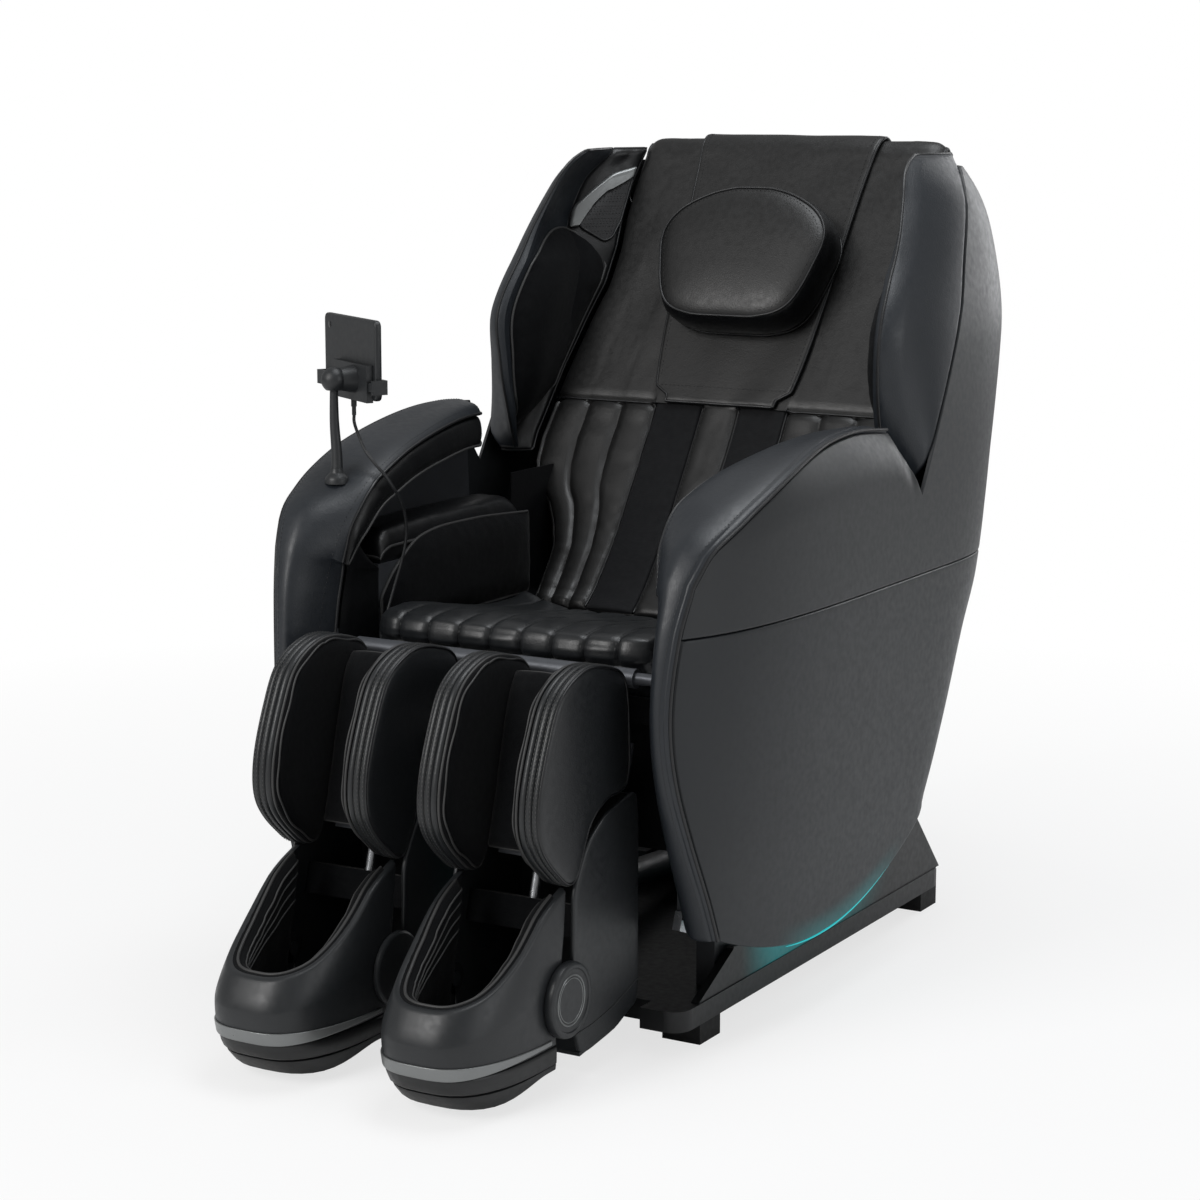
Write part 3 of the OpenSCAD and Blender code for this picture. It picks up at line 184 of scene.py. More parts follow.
def border(grid):
    """For each point of a grid, the distance to the nearest edge, along rows and along columns."""
    def both_ends(line):
        run = [0.0]
        for a, b in zip(line, line[1:]):
            run.append(run[-1] + (b - a).length)
        return [min(s, run[-1] - s) for s in run]
    rows = [both_ends(r) for r in grid]
    cols = list(zip(*[both_ends(c) for c in zip(*grid)]))
    return rows, cols


def round_off(d, r):
    """Share of the full height at a distance d from an edge that is rounded over r."""
    return 1.0 if d >= r else (1 - (1 - d / r) ** 2.0) ** 0.5


def shell(surface, us, vs, wall, r=3.0):
    """Moulded wall under surface(u, v, depth), with rounded outer edges."""
    rows, cols = border([[surface(u, v, 0) for u in us] for v in vs])
    front = [[surface(u, v, r * (1 - round_off(min(rows[j][i], cols[j][i]), r))) for i, u in enumerate(us)]
             for j, v in enumerate(vs)]
    return slab(front, [[surface(u, v, wall) for u in us] for v in vs])


def pad(top, base, us, vs, r=10.0, r_base=None, seam=0.5, pucker=0.0, reach=14.0):
    """Stuffed pad between top(u, v) and base(u, v). Returns the solid, its top grid and its seam line."""
    r_base = r if r_base is None else r_base
    hi = [[top(u, v) for u in us] for v in vs]
    lo = [[base(u, v) for u in us] for v in vs]
    mid = [[lerp(b, a, seam) for a, b in zip(x, y)] for x, y in zip(hi, lo)]
    rows, cols = border(mid)
    front, back = [], []
    for j in range(len(vs)):
        f, b = [], []
        for i in range(len(us)):
            dr, dc, m = rows[j][i], cols[j][i], mid[j][i]
            e = round_off(dr, r) * round_off(dc, r)
            p = lerp(m, hi[j][i], e)
            d = min(dr, dc)
            if pucker and d > 0:
                n = (hi[j][i] - lo[j][i]).normalized()
                s = noise.noise(m * 0.055) + 0.6 * noise.noise(m * 0.13)
                p = p + n * pucker * s * exp(-d / reach) * min(d / 3, 1)
            f.append(p)
            b.append(lerp(m, lo[j][i], round_off(dr, r_base) * round_off(dc, r_base)))
        front.append(f)
        back.append(b)
    loop = front[0] + [row[-1] for row in front[1:]] + front[-1][-2::-1] + [row[0] for row in front[-2:0:-1]]
    return slab(front, back), front, loop


def piped(padded, r):
    """A pad's solid with piping of radius r along its seam line."""
    return [padded[0], tube(padded[2], r, closed=True, mat=1)]


def resample(points, step, closed=False):
    """The same line with even steps of about step."""
    pts = list(points) + ([points[0]] if closed else [])
    pts = [p for k, p in enumerate(pts) if k == 0 or (p - pts[k - 1]).length > 1e-4]
    run = [0.0]
    for a, b in zip(pts, pts[1:]):
        run.append(run[-1] + (b - a).length)
    n = max(2, round(run[-1] / step))
    out, i = [], 0
    for k in range(n if closed else n + 1):
        s = run[-1] * k / n
        while i < len(run) - 2 and run[i + 1] < s:
            i += 1
        out.append(lerp(pts[i], pts[i + 1], clamp((s - run[i]) / (run[i + 1] - run[i]))))
    return out


def tube(points, r, n=8, step=6, closed=False, mat=0, taper=None):
    """Round bar along a line; taper gives the share of r from its start (0) to its end (1)."""
    pts = resample(points, step, closed)
    rings, up = [], None
    for k, p in enumerate(pts):
        a = pts[k - 1] if (k or closed) else p
        b = pts[(k + 1) % len(pts)] if (k < len(pts) - 1 or closed) else p
        d = (b - a).normalized()
        if up is None:
            up = d.orthogonal().normalized()
        up = (up - d * up.dot(d)).normalized()
        side = d.cross(up)
        rr = r if taper is None else r * taper(k / (len(pts) - 1))
        rings.append([p + (up * cos(2 * pi * j / n) + side * sin(2 * pi * j / n)) * rr for j in range(n)])
    return loft(rings, mat, closed)


def stitches(points, pitch=6.5, length=4.2, r=0.62, closed=False, mat=0):
    """A sewn line: one short pointed bar for each stitch."""
    pts = resample(points, pitch, closed)
    verts, faces = [], []
    for a, b in zip(pts, pts[1:]):
        d = b - a
        if d.length < 1e-6:
            continue
        d.normalize()
        up = d.orthogonal().normalized()
        side = d.cross(up)
        c, h = (a + b) / 2, length / 2
        k = len(verts)
        verts += [c - d * h] + [c + q * r for q in (up, side, -up, -side)] + [c + d * h]
        for j in range(4):
            faces += [(k, k + 1 + j, k + 1 + (j + 1) % 4)[::-1], (k + 5, k + 1 + j, k + 1 + (j + 1) % 4)]
    return verts, faces, mat


def mirrored(solid):
    """The same solid on the chair's other side."""
    verts, faces, mat = solid
    return [Vector((-p[0], p[1], p[2])) for p in verts], [tuple(reversed(f)) for f in faces], mat


def lift(grid, i=None, j=None, h=0.5):
    """Row j or column i of a grid, h above its surface."""
    r, c = len(grid), len(grid[0])
    cells = [(j, k) for k in range(c)] if j is not None else [(k, i) for k in range(r)]
    out = []
    for a, b in cells:
        du = grid[a][min(b + 1, c - 1)] - grid[a][max(b - 1, 0)]
        dv = grid[min(a + 1, r - 1)][b] - grid[max(a - 1, 0)][b]
        n = du.cross(dv)
        out.append(grid[a][b] + (n.normalized() * h if n.length > 1e-9 else Vector((0, 0, 0))))
    return out


def near(values, v):
    """Index of the value closest to v."""
    return min(range(len(values)), key=lambda k: abs(values[k] - v))


def make(name, solids, mats, slot, body, replaces=(), both=False, smooth=30, subdivide=0, fill=None):
    """One piece of the scene from closed solids, on its body; its slot is not used."""
    solids = list(solids) + ([mirrored(s) for s in solids] if both else [])
    verts, faces, index = [], [], []
    for v, f, m in solids:
        k = len(verts)
        verts += v
        faces += [tuple(q + k for q in face) for face in f]
        index += [m] * len(f)
    mesh = bpy.data.meshes.new(name)
    mesh.from_pydata([P(*p) for p in verts], [], faces)
    mesh.polygons.foreach_set("material_index", index)
    for m in (mats if isinstance(mats, (list, tuple)) else [mats]):
        mesh.materials.append(m)
    bm = bmesh.new()
    bm.from_mesh(mesh)
    bmesh.ops.recalc_face_normals(bm, faces=bm.faces)
    bm.to_mesh(mesh)
    bm.free()
    obj = add(name, mesh)
    if subdivide:
        mod = obj.modifiers.new("subdivide", "SUBSURF")
        mod.levels = mod.render_levels = subdivide
        apply(obj)
    shade(obj, smooth)
    return settle(obj, body, replaces)


def make_sides(name, solids, mats, slot, body, node, **look):
    """A left piece and its mirror image on the right, each in the place of its own node."""
    make(name + "_left", solids, mats, slot, body, [node + "_left"], **look)
    make(name + "_right", [mirrored(s) for s in solids], mats, slot, body, [node + "_right"], **look)


def apply(obj):
    """Turns the modifiers of an object into its mesh."""
    graph = bpy.context.evaluated_depsgraph_get()
    mesh = bpy.data.meshes.new_from_object(obj.evaluated_get(graph))
    obj.modifiers.clear()
    old = obj.data
    obj.data = mesh
    mesh.name = obj.name
    bpy.data.meshes.remove(old)
    return obj


def shade(obj, angle):
    mesh = obj.data
    mesh.shade_smooth()
    mesh.set_sharp_from_angle(angle=radians(angle))


def settle(obj, body, replaces=()):
    """Puts a piece on its body and hides the nodes it stands in for."""
    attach(obj, body)
    if replaces:
        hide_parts(*replaces)
    return obj


# ----- the tablet's cable
CABLE_TOP = Vector((-280.761, -359.785, 814.9))
CABLE_ROUTE = [CABLE_TOP, CABLE_TOP - Vector((0, 0, 10))]
CABLE_ROUTE += vectors([(-275, -360, 790), (-262, -362, 768), (-246, -362, 750), (-233, -358, 735),
                        (-225, -349, 717), (-221, -334, 694), (-221, -323, 668), (-222, -321, 640),
                        (-223, -331, 608), (-225, -349, 570), (-227, -366, 532), (-229, -377, 500),
                        (-230, -380, 482), (-230, -380, 472.4)])
CABLE_R, CABLE_LENGTH, CABLE_STEPS = 2.3, 0.3815, 12
cable_line = [P(*along(CABLE_ROUTE, k / CABLE_STEPS))
              for k in range((len(CABLE_ROUTE) - 1) * CABLE_STEPS + 1)]


# ----- materials
ROCK_Y, ROCK_Z, PANEL_R = 186, 728, 615  # centre on which the chair rocks (at -ROCK_Y), radius of the panels


def rgb(r, g, b):
    return tuple(((c / 255 + 0.055) / 1.055) ** 2.4 if c > 10 else c / 255 / 12.92
                 for c in (r, g, b)) + (1.0,)


def tint(color, f):
    return tuple(clamp(c * f) for c in color[:3]) + (1.0,)


def noder(tree):
    """A function that adds a node to tree, with its links and its values."""
    def node(kind, links=(), **values):
        n = tree.nodes.new(kind)
        for k, v in values.items():
            if hasattr(n, k):
                setattr(n, k, v)
            else:
                n.inputs[k.replace("_", " ")].default_value = v
        for out, key in links:
            tree.links.new(out, n.inputs[key])
        return n
    return node


def material(name, color, rough, grain="mould", vary=0.16, wear_and_highlight=0.0, painted_glow=None, **sockets):
    """Procedural finish: colour variation, uneven roughness and a bump of the given grain."""
    mat = bpy.data.materials.new(name)
    mat.use_nodes = True
    tree = mat.node_tree
    bsdf, node = tree.nodes["Principled BSDF"], noder(tree)
    for k, v in sockets.items():
        bsdf.inputs[k.replace("_", " ")].default_value = v
    place = node("ShaderNodeTexCoord").outputs["Object"]

    def ramp(fac, stops):
        n = node("ShaderNodeValToRGB", [(fac, "Fac")])
        while len(n.color_ramp.elements) < len(stops):
            n.color_ramp.elements.new(0.5)
        for e, (p, c) in zip(n.color_ramp.elements, stops):
            e.position, e.color = p, c
        return n.outputs["Color"]

    def grey(v):
        return (v, v, v, 1)

    def cloudy(scale, detail, vector=place, **more):
        return node("ShaderNodeTexNoise", [(vector, "Vector")], Scale=scale, Detail=detail,
                    **more).outputs["Fac"]

    def recolor(fac, other, **fixed):
        return node("ShaderNodeMixRGB", [(fac, "Fac"), (base, other)], **fixed).outputs["Color"]
    cloud, fine_cloud = cloudy(7.0, 5.0, Roughness=0.62), cloudy(110.0, 3.0)
    base = ramp(cloud, [(0.3, tint(color, 1 - vary)), (0.72, tint(color, 1 + vary))])
    # convex edges lighten towards a paler copy of the colour: partly worn edges, partly a painted edge
    # highlight
    if wear_and_highlight:
        edge = node("ShaderNodeNewGeometry").outputs["Pointiness"]
        base = recolor(ramp(edge, [(0.53, grey(0)), (0.62, grey(wear_and_highlight))]), "Color1", Color2=tint(color, 2.6))
    heights = []
    if grain == "leather":
        cells = node("ShaderNodeTexVoronoi", [(place, "Vector")], Scale=430.0).outputs["Distance"]
        heights = [(cells, 0.35, 0.0003), (cloudy(48.0, 8.0, Roughness=0.6), 0.22, 0.0011)]
    elif grain == "weave":
        for axis in "XYZ":
            wave = node("ShaderNodeTexWave", [(place, "Vector")], bands_direction=axis, Scale=310.0,
                        Distortion=1.2, Detail=2.0)
            heights.append((wave.outputs["Fac"], 0.3, 0.00035))
        heights.append((fine_cloud, 0.3, 0.0008))
    elif grain == "mould":
        heights = [(cloudy(900.0, 2.0), 0.1, 0.0001), (cloud, 0.02, 0.001)]
    elif grain == "brushed":
        stretch = node("ShaderNodeMapping", [(place, "Vector")], Scale=(14, 900, 900))
        heights = [(cloudy(1.0, 2.0, stretch.outputs["Vector"]), 0.18, 0.0002)]
    elif grain == "holes":
        dots = node("ShaderNodeTexVoronoi", [(place, "Vector")], Scale=260.0,
                    Randomness=0.0).outputs["Distance"]
        holes = ramp(dots, [(0.2, grey(0.0)), (0.34, grey(1.0))])
        base = recolor(holes, "Color2", Color1=tint(color, 0.2))
        heights = [(holes, 0.8, 0.0008)]
    tree.links.new(base, bsdf.inputs["Base Color"])
    r = ramp(fine_cloud, [(0.25, grey(clamp(rough - 0.07))), (0.8, grey(clamp(rough + 0.08)))])
    tree.links.new(r, bsdf.inputs["Roughness"])
    # painted glow: emission strength on a surface that is no lamp, standing for a light falling on it
    if painted_glow:
        tree.links.new(painted_glow(node, place), bsdf.inputs["Emission Strength"])
    normal = None
    for height, strength, distance in heights:
        n = node("ShaderNodeBump", [(height, "Height")] + ([(normal, "Normal")] if normal else []),
                 Strength=strength, Distance=distance)
        normal = n.outputs["Normal"]
    if normal:
        tree.links.new(normal, bsdf.inputs["Normal"])
    return mat


# TEAL is the light strip's colour; PAINTED_GLOW_FADE is the run over which the painted glow fades in at its
# ends
TEAL, PAINTED_GLOW_FADE = (0.0, 0.42, 0.44, 1), 0.13


def painted_strip_glow(begin, end, reach, strength):
    """Painted glow of the strip behind the panel's lower edge: emission on the surface that the strip lights,
    from begin to end along Y, fading out over reach.
    """
    def build(node, place):
        def fade(value, empty, full):
            return node("ShaderNodeMapRange", [(value, "Value")], interpolation_type="SMOOTHSTEP",
                        From_Min=empty, From_Max=full).outputs["Result"]

        def calc(operation, a, b=0.0):
            """A math node on the output a with b, which is another output or a fixed number."""
            fixed = isinstance(b, float)
            n = node("ShaderNodeMath", [(a, 0)] if fixed else [(a, 0), (b, 1)], operation=operation)
            if fixed:
                n.inputs[1].default_value = b
            return n.outputs[0]
        mid = node("ShaderNodeMapping", [(place, "Vector")], Scale=(0, 1, 1),
                   Location=(0, (ROCK_Y - FRAME_Y) / 1000, ROCK_Z / -1000)).outputs["Vector"]
        radius = node("ShaderNodeVectorMath", [(mid, 0)], operation="LENGTH").outputs["Value"]
        off = calc("ABSOLUTE", calc("SUBTRACT", radius, PANEL_R / 1000))
        along_y = node("ShaderNodeSeparateXYZ", [(place, "Vector")]).outputs["Y"]
        ends = calc("MULTIPLY", fade(along_y, begin, begin + PAINTED_GLOW_FADE), fade(along_y, end, end - PAINTED_GLOW_FADE))
        return calc("MULTIPLY", calc("MULTIPLY", fade(off, reach, 0.0), ends), strength)
    return build


LEATHER = material("leather", rgb(23, 25, 27), 0.39, "leather", vary=0.12, Specular_IOR_Level=0.5)
# band and wing leather: near-black leather lifted to a lighter, bluish tone as a painted bluish sheen
BAND_LEATHER = material("band_leather", rgb(29, 33, 38), 0.43, "leather", vary=0.06, Specular_IOR_Level=0.5)
WARM_LEATHER = material("warm_leather", rgb(20, 20, 20), 0.42, "leather", vary=0.1, Specular_IOR_Level=0.48)
DARK_LEATHER = material("dark_leather", rgb(9, 10, 12), 0.38, "leather", vary=0.15, Specular_IOR_Level=0.45)
# leg rest leather, lighter than the seat leather: painted light lifting the shade the panel casts on the leg
# rest
LEG_LEATHER = material("leg_leather", rgb(26, 28, 30), 0.4, "leather", vary=0.08, Specular_IOR_Level=0.5)
FABRIC = material("black_fabric", rgb(6, 7, 9), 0.85, "weave", vary=0.25, Sheen_Weight=0.04,
                  Sheen_Roughness=0.5, Specular_IOR_Level=0.1)
STRIP_FABRIC = material("strip_fabric", rgb(9, 10, 13), 0.7, "weave", vary=0.2, Sheen_Weight=0.08,
                        Sheen_Roughness=0.4, Specular_IOR_Level=0.2)
THREAD = material("grey_thread", rgb(88, 88, 86), 0.7, "weave", vary=0.2)
PIPING = material("piping", rgb(20, 21, 23), 0.42, "leather", vary=0.1)
GREY_PIPING = material("grey_piping", rgb(50, 50, 50), 0.5, "leather", vary=0.1)
# the panel plastic carries a painted teal glow along its lower edge: the strip's light falling on it, given
# as emission
PANEL = material("panel_plastic", rgb(27, 30, 33), 0.42, vary=0.04, painted_glow=painted_strip_glow(-0.16, 0.24, 0.035, 0.16),
                 Specular_IOR_Level=0.42, Emission_Color=TEAL)
COVER = material("cover_plastic", rgb(36, 38, 40), 0.44, vary=0.04, Specular_IOR_Level=0.42)
# rear plastic, about twice as light as the other dark plastics: painted light falling on the chair's rear
REAR = material("rear_plastic", rgb(56, 56, 57), 0.5, vary=0.04)
SHELL = material("shell_plastic", rgb(33, 35, 37), 0.4, vary=0.05, Specular_IOR_Level=0.45)
SOLE = material("sole_plastic", rgb(20, 21, 22), 0.4, vary=0.06)
SILVER = material("silver_plastic", rgb(128, 130, 130), 0.34, "brushed", vary=0.04, Metallic=0.6)
GRILLE = material("grille", rgb(20, 20, 22), 0.5, "holes", vary=0.1)
GLASS = material("screen_glass", rgb(8, 9, 11), 0.08, vary=0.02, Coat_Weight=0.6, Coat_Roughness=0.03)
HOLDER = material("holder_plastic", rgb(30, 32, 34), 0.45, vary=0.06)
CABLE = material("cable_rubber", rgb(26, 27, 29), 0.45, vary=0.08)
# tray and skirt: black plastic, darkened further as painted shade under the seat
TRAY = material("tray_plastic", rgb(11, 12, 14), 0.4, vary=0.06, Specular_IOR_Level=0.4)
# the skirt plastic also carries a painted teal glow of the strip's light, given as emission
SKIRT = material("skirt_plastic", rgb(11, 12, 13), 0.42, vary=0.06, painted_glow=painted_strip_glow(-0.14, 0.38, 0.15, 0.32),
                 Specular_IOR_Level=0.45, Emission_Color=TEAL)
RUBBER = material("foot_rubber", rgb(14, 14, 15), 0.75, vary=0.15)
STEEL = material("frame_steel", rgb(74, 76, 80), 0.45, vary=0.1, wear_and_highlight=0.3, Metallic=0.6)
BRIGHT = material("bright_steel", rgb(176, 178, 181), 0.22, "brushed", vary=0.06, Metallic=1.0)
DRIVE = material("drive_plastic", rgb(28, 29, 32), 0.5, vary=0.1, wear_and_highlight=0.2)
ROLLER = material("roller_plastic", rgb(196, 192, 182), 0.5, vary=0.06, wear_and_highlight=0.1)
SWITCH = material("switch_plastic", rgb(120, 22, 22), 0.35, vary=0.05)
LIGHT = material("light_plastic", rgb(51, 110, 114), 0.4, vary=0.05, Emission_Color=TEAL,
                 Emission_Strength=1.0)

# the nodes that keep their own solids, by finish
NODE_FINISH = [(TRAY, "base_tray"), (SKIRT, "base_skirt"), (RUBBER, "base_feet"), (SWITCH, "power_switch"),
               (DRIVE, "glide_shoes control_box power_inlet recline_drive leg_drive"),
               (BRIGHT, "recline_rod arc_rails track_rods leg_rod slide_rods"), (LIGHT, "light_strips"),
               (STEEL, "seat_frame arm_frames back_frame leg_hinge_shaft massage_carriage leg_frame"),
               (ROLLER, "massage_arms massage_rollers_upper massage_rollers_lower"),
               (HOLDER, "tablet_bracket clamp_jaw")]
for finish, names in NODE_FINISH:
    for name in names.split():
        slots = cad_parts[name].data.materials
        for k in range(len(slots)):
            slots[k] = finish

cable_data = bpy.data.curves.new("cable", "CURVE")
cable_data.dimensions = "3D"
cable_data.bevel_depth, cable_data.bevel_resolution, cable_data.use_fill_caps = CABLE_R / 1000, 4, True
cable_spline = cable_data.splines.new("POLY")
cable_spline.points.add(len(cable_line) - 1)
for point, co in zip(cable_spline.points, cable_line):
    point.co = (*co, 1)
cable_data.materials.append(CABLE)
cable_piece = add("cable", cable_data)
settle(cable_piece, "recliner", ["tablet_cable"])


# ----- outer skin: panels, covers, rear
MID_Y, FRONT_LEN = 60, 660
SEAM_Z, SEAM_GAP, PANEL_WALL, WRAP_X = 575, 1, 5, 305
WIDTH_OF = [(150, 370), (300, 378), (900, 378), (1000, 368), (1100, 352), (1160, 328)]
REAR_OF = [(230, 205), (351, 299), (464, 374), (549, 436), (745, 496), (866, 528), (970, 540), (1066, 517),
           (1123, 482), (1156, 452)]
FRONT_OF = [(162, -425), (208, -442), (297, -475), (393, -500), (480, -507), (577, -496), (640, -478)]
ARM_TOP = [(-478, 640), (-450, 679), (-400, 706), (-350, 727), (-271, 752), (-167, 770), (-60, 778),
           (48, 770)]
WING_SEAM = [(48, 770), (112, 692), (162, 774), (208, 857), (243, 926), (260, 957), (292, 1040), (335, 1124),
             (360, 1150)]
SHELL_TOP, REAR_LOW = 1150, 332


def rear_reach(z, t):
    """Length of the shell from its widest place to its rear, t inside the skin."""
    return curve(REAR_OF, z) - MID_Y - t


def half_w(z, t):
    """Half of the shell's greatest width at height z, t inside the skin."""
    return curve(WIDTH_OF, z) - t


def skin_x(y, z, t=0):
    """Distance of the skin from the middle plane: it narrows to the front and to the rear."""
    if y < MID_Y:
        return half_w(z, t) * clamp(1 - ((MID_Y - y) / (FRONT_LEN - t)) ** 4) ** 0.25
    return half_w(z, t) * clamp(1 - clamp((y - MID_Y) / rear_reach(z, t)) ** 6) ** (1 / 6)


def skin_y(x, z, t=0):
    """Place of the skin's rear at x."""
    return MID_Y + rear_reach(z, t) * clamp(1 - clamp(x / half_w(z, t)) ** 6) ** (1 / 6)


def arc_z(y, r):
    """Height of the circle of radius r about the rocking centre."""
    return ROCK_Z - sqrt(r * r - (y + ROCK_Y) ** 2)


def panel_at(g, v, t):
    """Side panel: g from its front edge to its rear edge, v from the arc at its foot to the seam."""
    z = lerp(arc_z(lerp(-425, 193, g), PANEL_R), SEAM_Z - SEAM_GAP / 2, v)
    y = lerp(curve(FRONT_OF, z), skin_y(WRAP_X, z, t), g)
    return Vector((skin_x(y, z, t), y, z))


PANEL_G = [0, 0.004, 0.012, 0.025, 0.045] + spread(44, 0.07, 0.955) + [0.97, 0.982, 0.99, 0.996, 1]
panel = shell(panel_at, PANEL_G, fine(26, 0.03), PANEL_WALL, 3)
make_sides("panel", [panel], PANEL, "panel_plastic", "recliner", "side_panel")

COVER_Y = [-450, -400, -350, -271, -167, -60, 48, 80, 112, 162, 208, 243, 260, 292, 335, 360]
SHOULDER = [(-430, 0), (-300, 0.35), (-130, 1), (300, 1)]


def shoulder_roll(y):
    """How far the cover rolls in over the arm: inwards and upwards."""
    k = curve(SHOULDER, y) * clamp((90 - y) / 42)
    return 26 * k, 15 * k


def cover_at(q, v, t):
    """q counts the columns from the front edge: 1 to 16 are COVER_Y, 17 is the rear edge."""
    if q < 1:
        top, y = curve(ARM_TOP, lerp(-478, -450, q)), None
    elif q <= 16:
        y = lookup([(k + 1, c) for k, c in enumerate(COVER_Y)], q)
        top = curve(ARM_TOP, y) if y <= 48 else lookup(WING_SEAM, y)
    else:
        top, y = SHELL_TOP, COVER_Y[-1]
    z = lerp(SEAM_Z + SEAM_GAP / 2, top, v)
    if q < 1:
        y = lerp(curve(FRONT_OF, z), -450, q)
    if q > 16:
        y = lerp(COVER_Y[-1], skin_y(WRAP_X, z, t), q - 16)
    roll_in, roll_up = shoulder_roll(y) if 1 <= q < 9 else (0, 0)
    e = clamp((v - 0.7) / 0.3)
    return Vector((skin_x(y, z, t) - roll_in * e ** 2.4, y, z + roll_up * e))


COVER_END = (0, 0.12, 0.25, 0.38, 0.5, 0.6, 0.68, 0.76, 0.82, 0.88, 0.92, 0.95, 0.972, 0.988, 0.996, 1)
COVER_Q = ([0, 0.03, 0.08, 0.16, 0.3, 0.5, 0.75]
           + [k + f for k in range(1, 12) for f in (0, 0.2, 0.4, 0.6, 0.8)]
           + [k + f for k in range(12, 16) for f in (0, 0.33, 0.67)] + [16 + f for f in COVER_END])
cover = shell(cover_at, COVER_Q, fine(40, 0.02), PANEL_WALL, 2.5)
make_sides("cover", [cover], COVER, "cover_plastic", "recliner", "upper_cover")


def rear_at(u, v, t):
    x, z = lerp(-WRAP_X + SEAM_GAP, WRAP_X - SEAM_GAP, u), lerp(REAR_LOW, SHELL_TOP, v)
    return Vector((x, skin_y(abs(x), z, t), z))


REAR_U = ([0, 0.003, 0.008, 0.016, 0.03, 0.05, 0.075] + spread(30, 0.1, 0.9)
          + [0.925, 0.95, 0.97, 0.984, 0.992, 0.997, 1])
rear = [shell(rear_at, REAR_U, fine(50, 0.01), PANEL_WALL, 2.5)]
BAR_Z, BAR_PITCH, BAR_HALF = 470, 17, 150
# raised bars across the rear cover
for k in range(9):
    z = BAR_Z + BAR_PITCH * k
    rear.append(tube([Vector((x, skin_y(abs(x), z, -1.2), z)) for x in spread(24, -BAR_HALF, BAR_HALF)], 3,
                     step=12, mat=1))
make("rear_shell", rear, [REAR, SOLE], "rear_plastic", "recliner", ["rear_cover"])

# ----- arms
BAND_LIFT, NOSE_BACK = 2, 66
BAND_INNER = [(0, 262), (0.9, 258), (1.05, 246), (1.18, 240), (1.3, 244), (1.5, 258), (1.75, 278),
              (1.88, 294), (1.95, 314), (2, 338)]


def edge(s):
    """The arm's outer line as (y, z): s from 0 to 1 up its front, from 1 to 2 back along its top."""
    if s <= 1:
        z = lerp(164, 640, s)
        return Vector((curve(FRONT_OF, z), z))
    y = lerp(-478, 46, s - 1)
    return Vector((y, curve(ARM_TOP, y)))


def off_edge(s, h):
    """The place h outside that line."""
    a, b = edge(max(s - 0.02, 0)), edge(min(s + 0.02, 2))
    d = (b - a).normalized()
    return edge(s) + Vector((-d[1], d[0])) * h


def upright(s):
    """1 on the arm's front, falling to 0 where the arm has turned back."""
    t = clamp((s - 0.9) / 0.34)
    return 1 - t * t * (3 - 2 * t)


def nose(s, c):
    """How far the front falls back from the arm's edge line towards its inner side."""
    return NOSE_BACK * upright(s) * clamp(1 - c / 0.62) ** 1.7


def band_outer(s):
    q = edge(s)
    return skin_x(*q) - shoulder_roll(q[0])[0]


def band_width(s):
    return band_outer(s) - curve(BAND_INNER, s)


def band_at(s, c, h):
    """Place on the arm's band: c from its inner edge (0) to its outer edge (1), h above the arm's line."""
    q, p = edge(s), off_edge(s, h - nose(s, c))
    return Vector((lerp(curve(BAND_INNER, s), band_outer(s), c), p[0],
                   p[1] + shoulder_roll(q[0])[1] * c ** 3))


def band_top(s, c):
    ridge = exp(-(((1 - c) * band_width(s) - 7) / 1.8) ** 2) * 1.6
    end = clamp(1 - max(0, (s - 1.9) / 0.1) ** 2, 0.1)
    wave = 0.9 * ripple(s * 5, c * 1.5, 4)
    return band_at(s, c, BAND_LIFT + 5 + lerp(13, 8, upright(s)) * crown(c, 3) * end - ridge + wave)


BAND_S = [2 * s for s in fine(96, 0.008)]
BAND_C = [0, 0.004, 0.012, 0.03, 0.06, 0.1, 0.16, 0.22, 0.28, 0.34, 0.4, 0.46, 0.52, 0.58, 0.64, 0.72, 0.79,
          0.84, 0.87, 0.885, 0.9, 0.915, 0.93, 0.95, 0.97, 0.985, 0.994, 1]
band, band_grid, _ = pad(lambda c, s: band_top(s, c), lambda c, s: band_at(s, c, BAND_LIFT), BAND_C, BAND_S,
                         8, 2, 0.55)
trim = [band,
        tube([row[0] for row in band_grid], 2.4, mat=1), tube([row[-1] for row in band_grid], 2.4, mat=1),
        stitches([band_top(s, 7 / band_width(s)) for s in BAND_S[8:-8]], 7, 4.6, 0.6, mat=2),
        stitches([band_top(s, 1 - 11 / band_width(s)) for s in BAND_S[8:-8]], 7, 4.6, 0.6, mat=2)]
make_sides("band", trim, [BAND_LEATHER, PIPING, PIPING], "arm_leather", "recliner", "arm_band", fill=0.8)


def inner_wall(u, v, t):
    """Lining between the band's inner edge and the hip pad."""
    s = lerp(0.3, 1.1, v)
    p = off_edge(s, -NOSE_BACK * upright(s) - 6)
    y = lerp(p[0], -344, u)
    return Vector((lerp(curve(BAND_INNER, s) - 1, 249, u) + t, y, min(p[1], lerp(p[1], 596, u ** 0.5))))


def low_wall(u, v, t):
    """Its lower part, which closes the space beside the seat frame."""
    return Vector((249 + t, lerp(-346, 20, u), lerp(300, 508, v)))


def front_wall(u, v, t):
    """Closes the space under the seat behind the leg rest."""
    return Vector((lerp(88, 257, u), -352 + t, lerp(250, 506, v)))


def rear_wall(u, v, t):
    """Closes the space between the hip pad and the back."""
    return Vector((256 + t, lerp(16, 150, u), lerp(440, 690, v)))


lining_wall = [shell(inner_wall, spread(10), spread(36), 4, 2), shell(low_wall, spread(6), spread(4), 3, 1)]
lining_wall += [shell(front_wall, spread(4), spread(4), 4, 1.5), shell(rear_wall, spread(4), spread(4), 3, 1)]
make("arm_lining", lining_wall, [DARK_LEATHER], "roll_leather", "recliner", both=True, smooth=50)
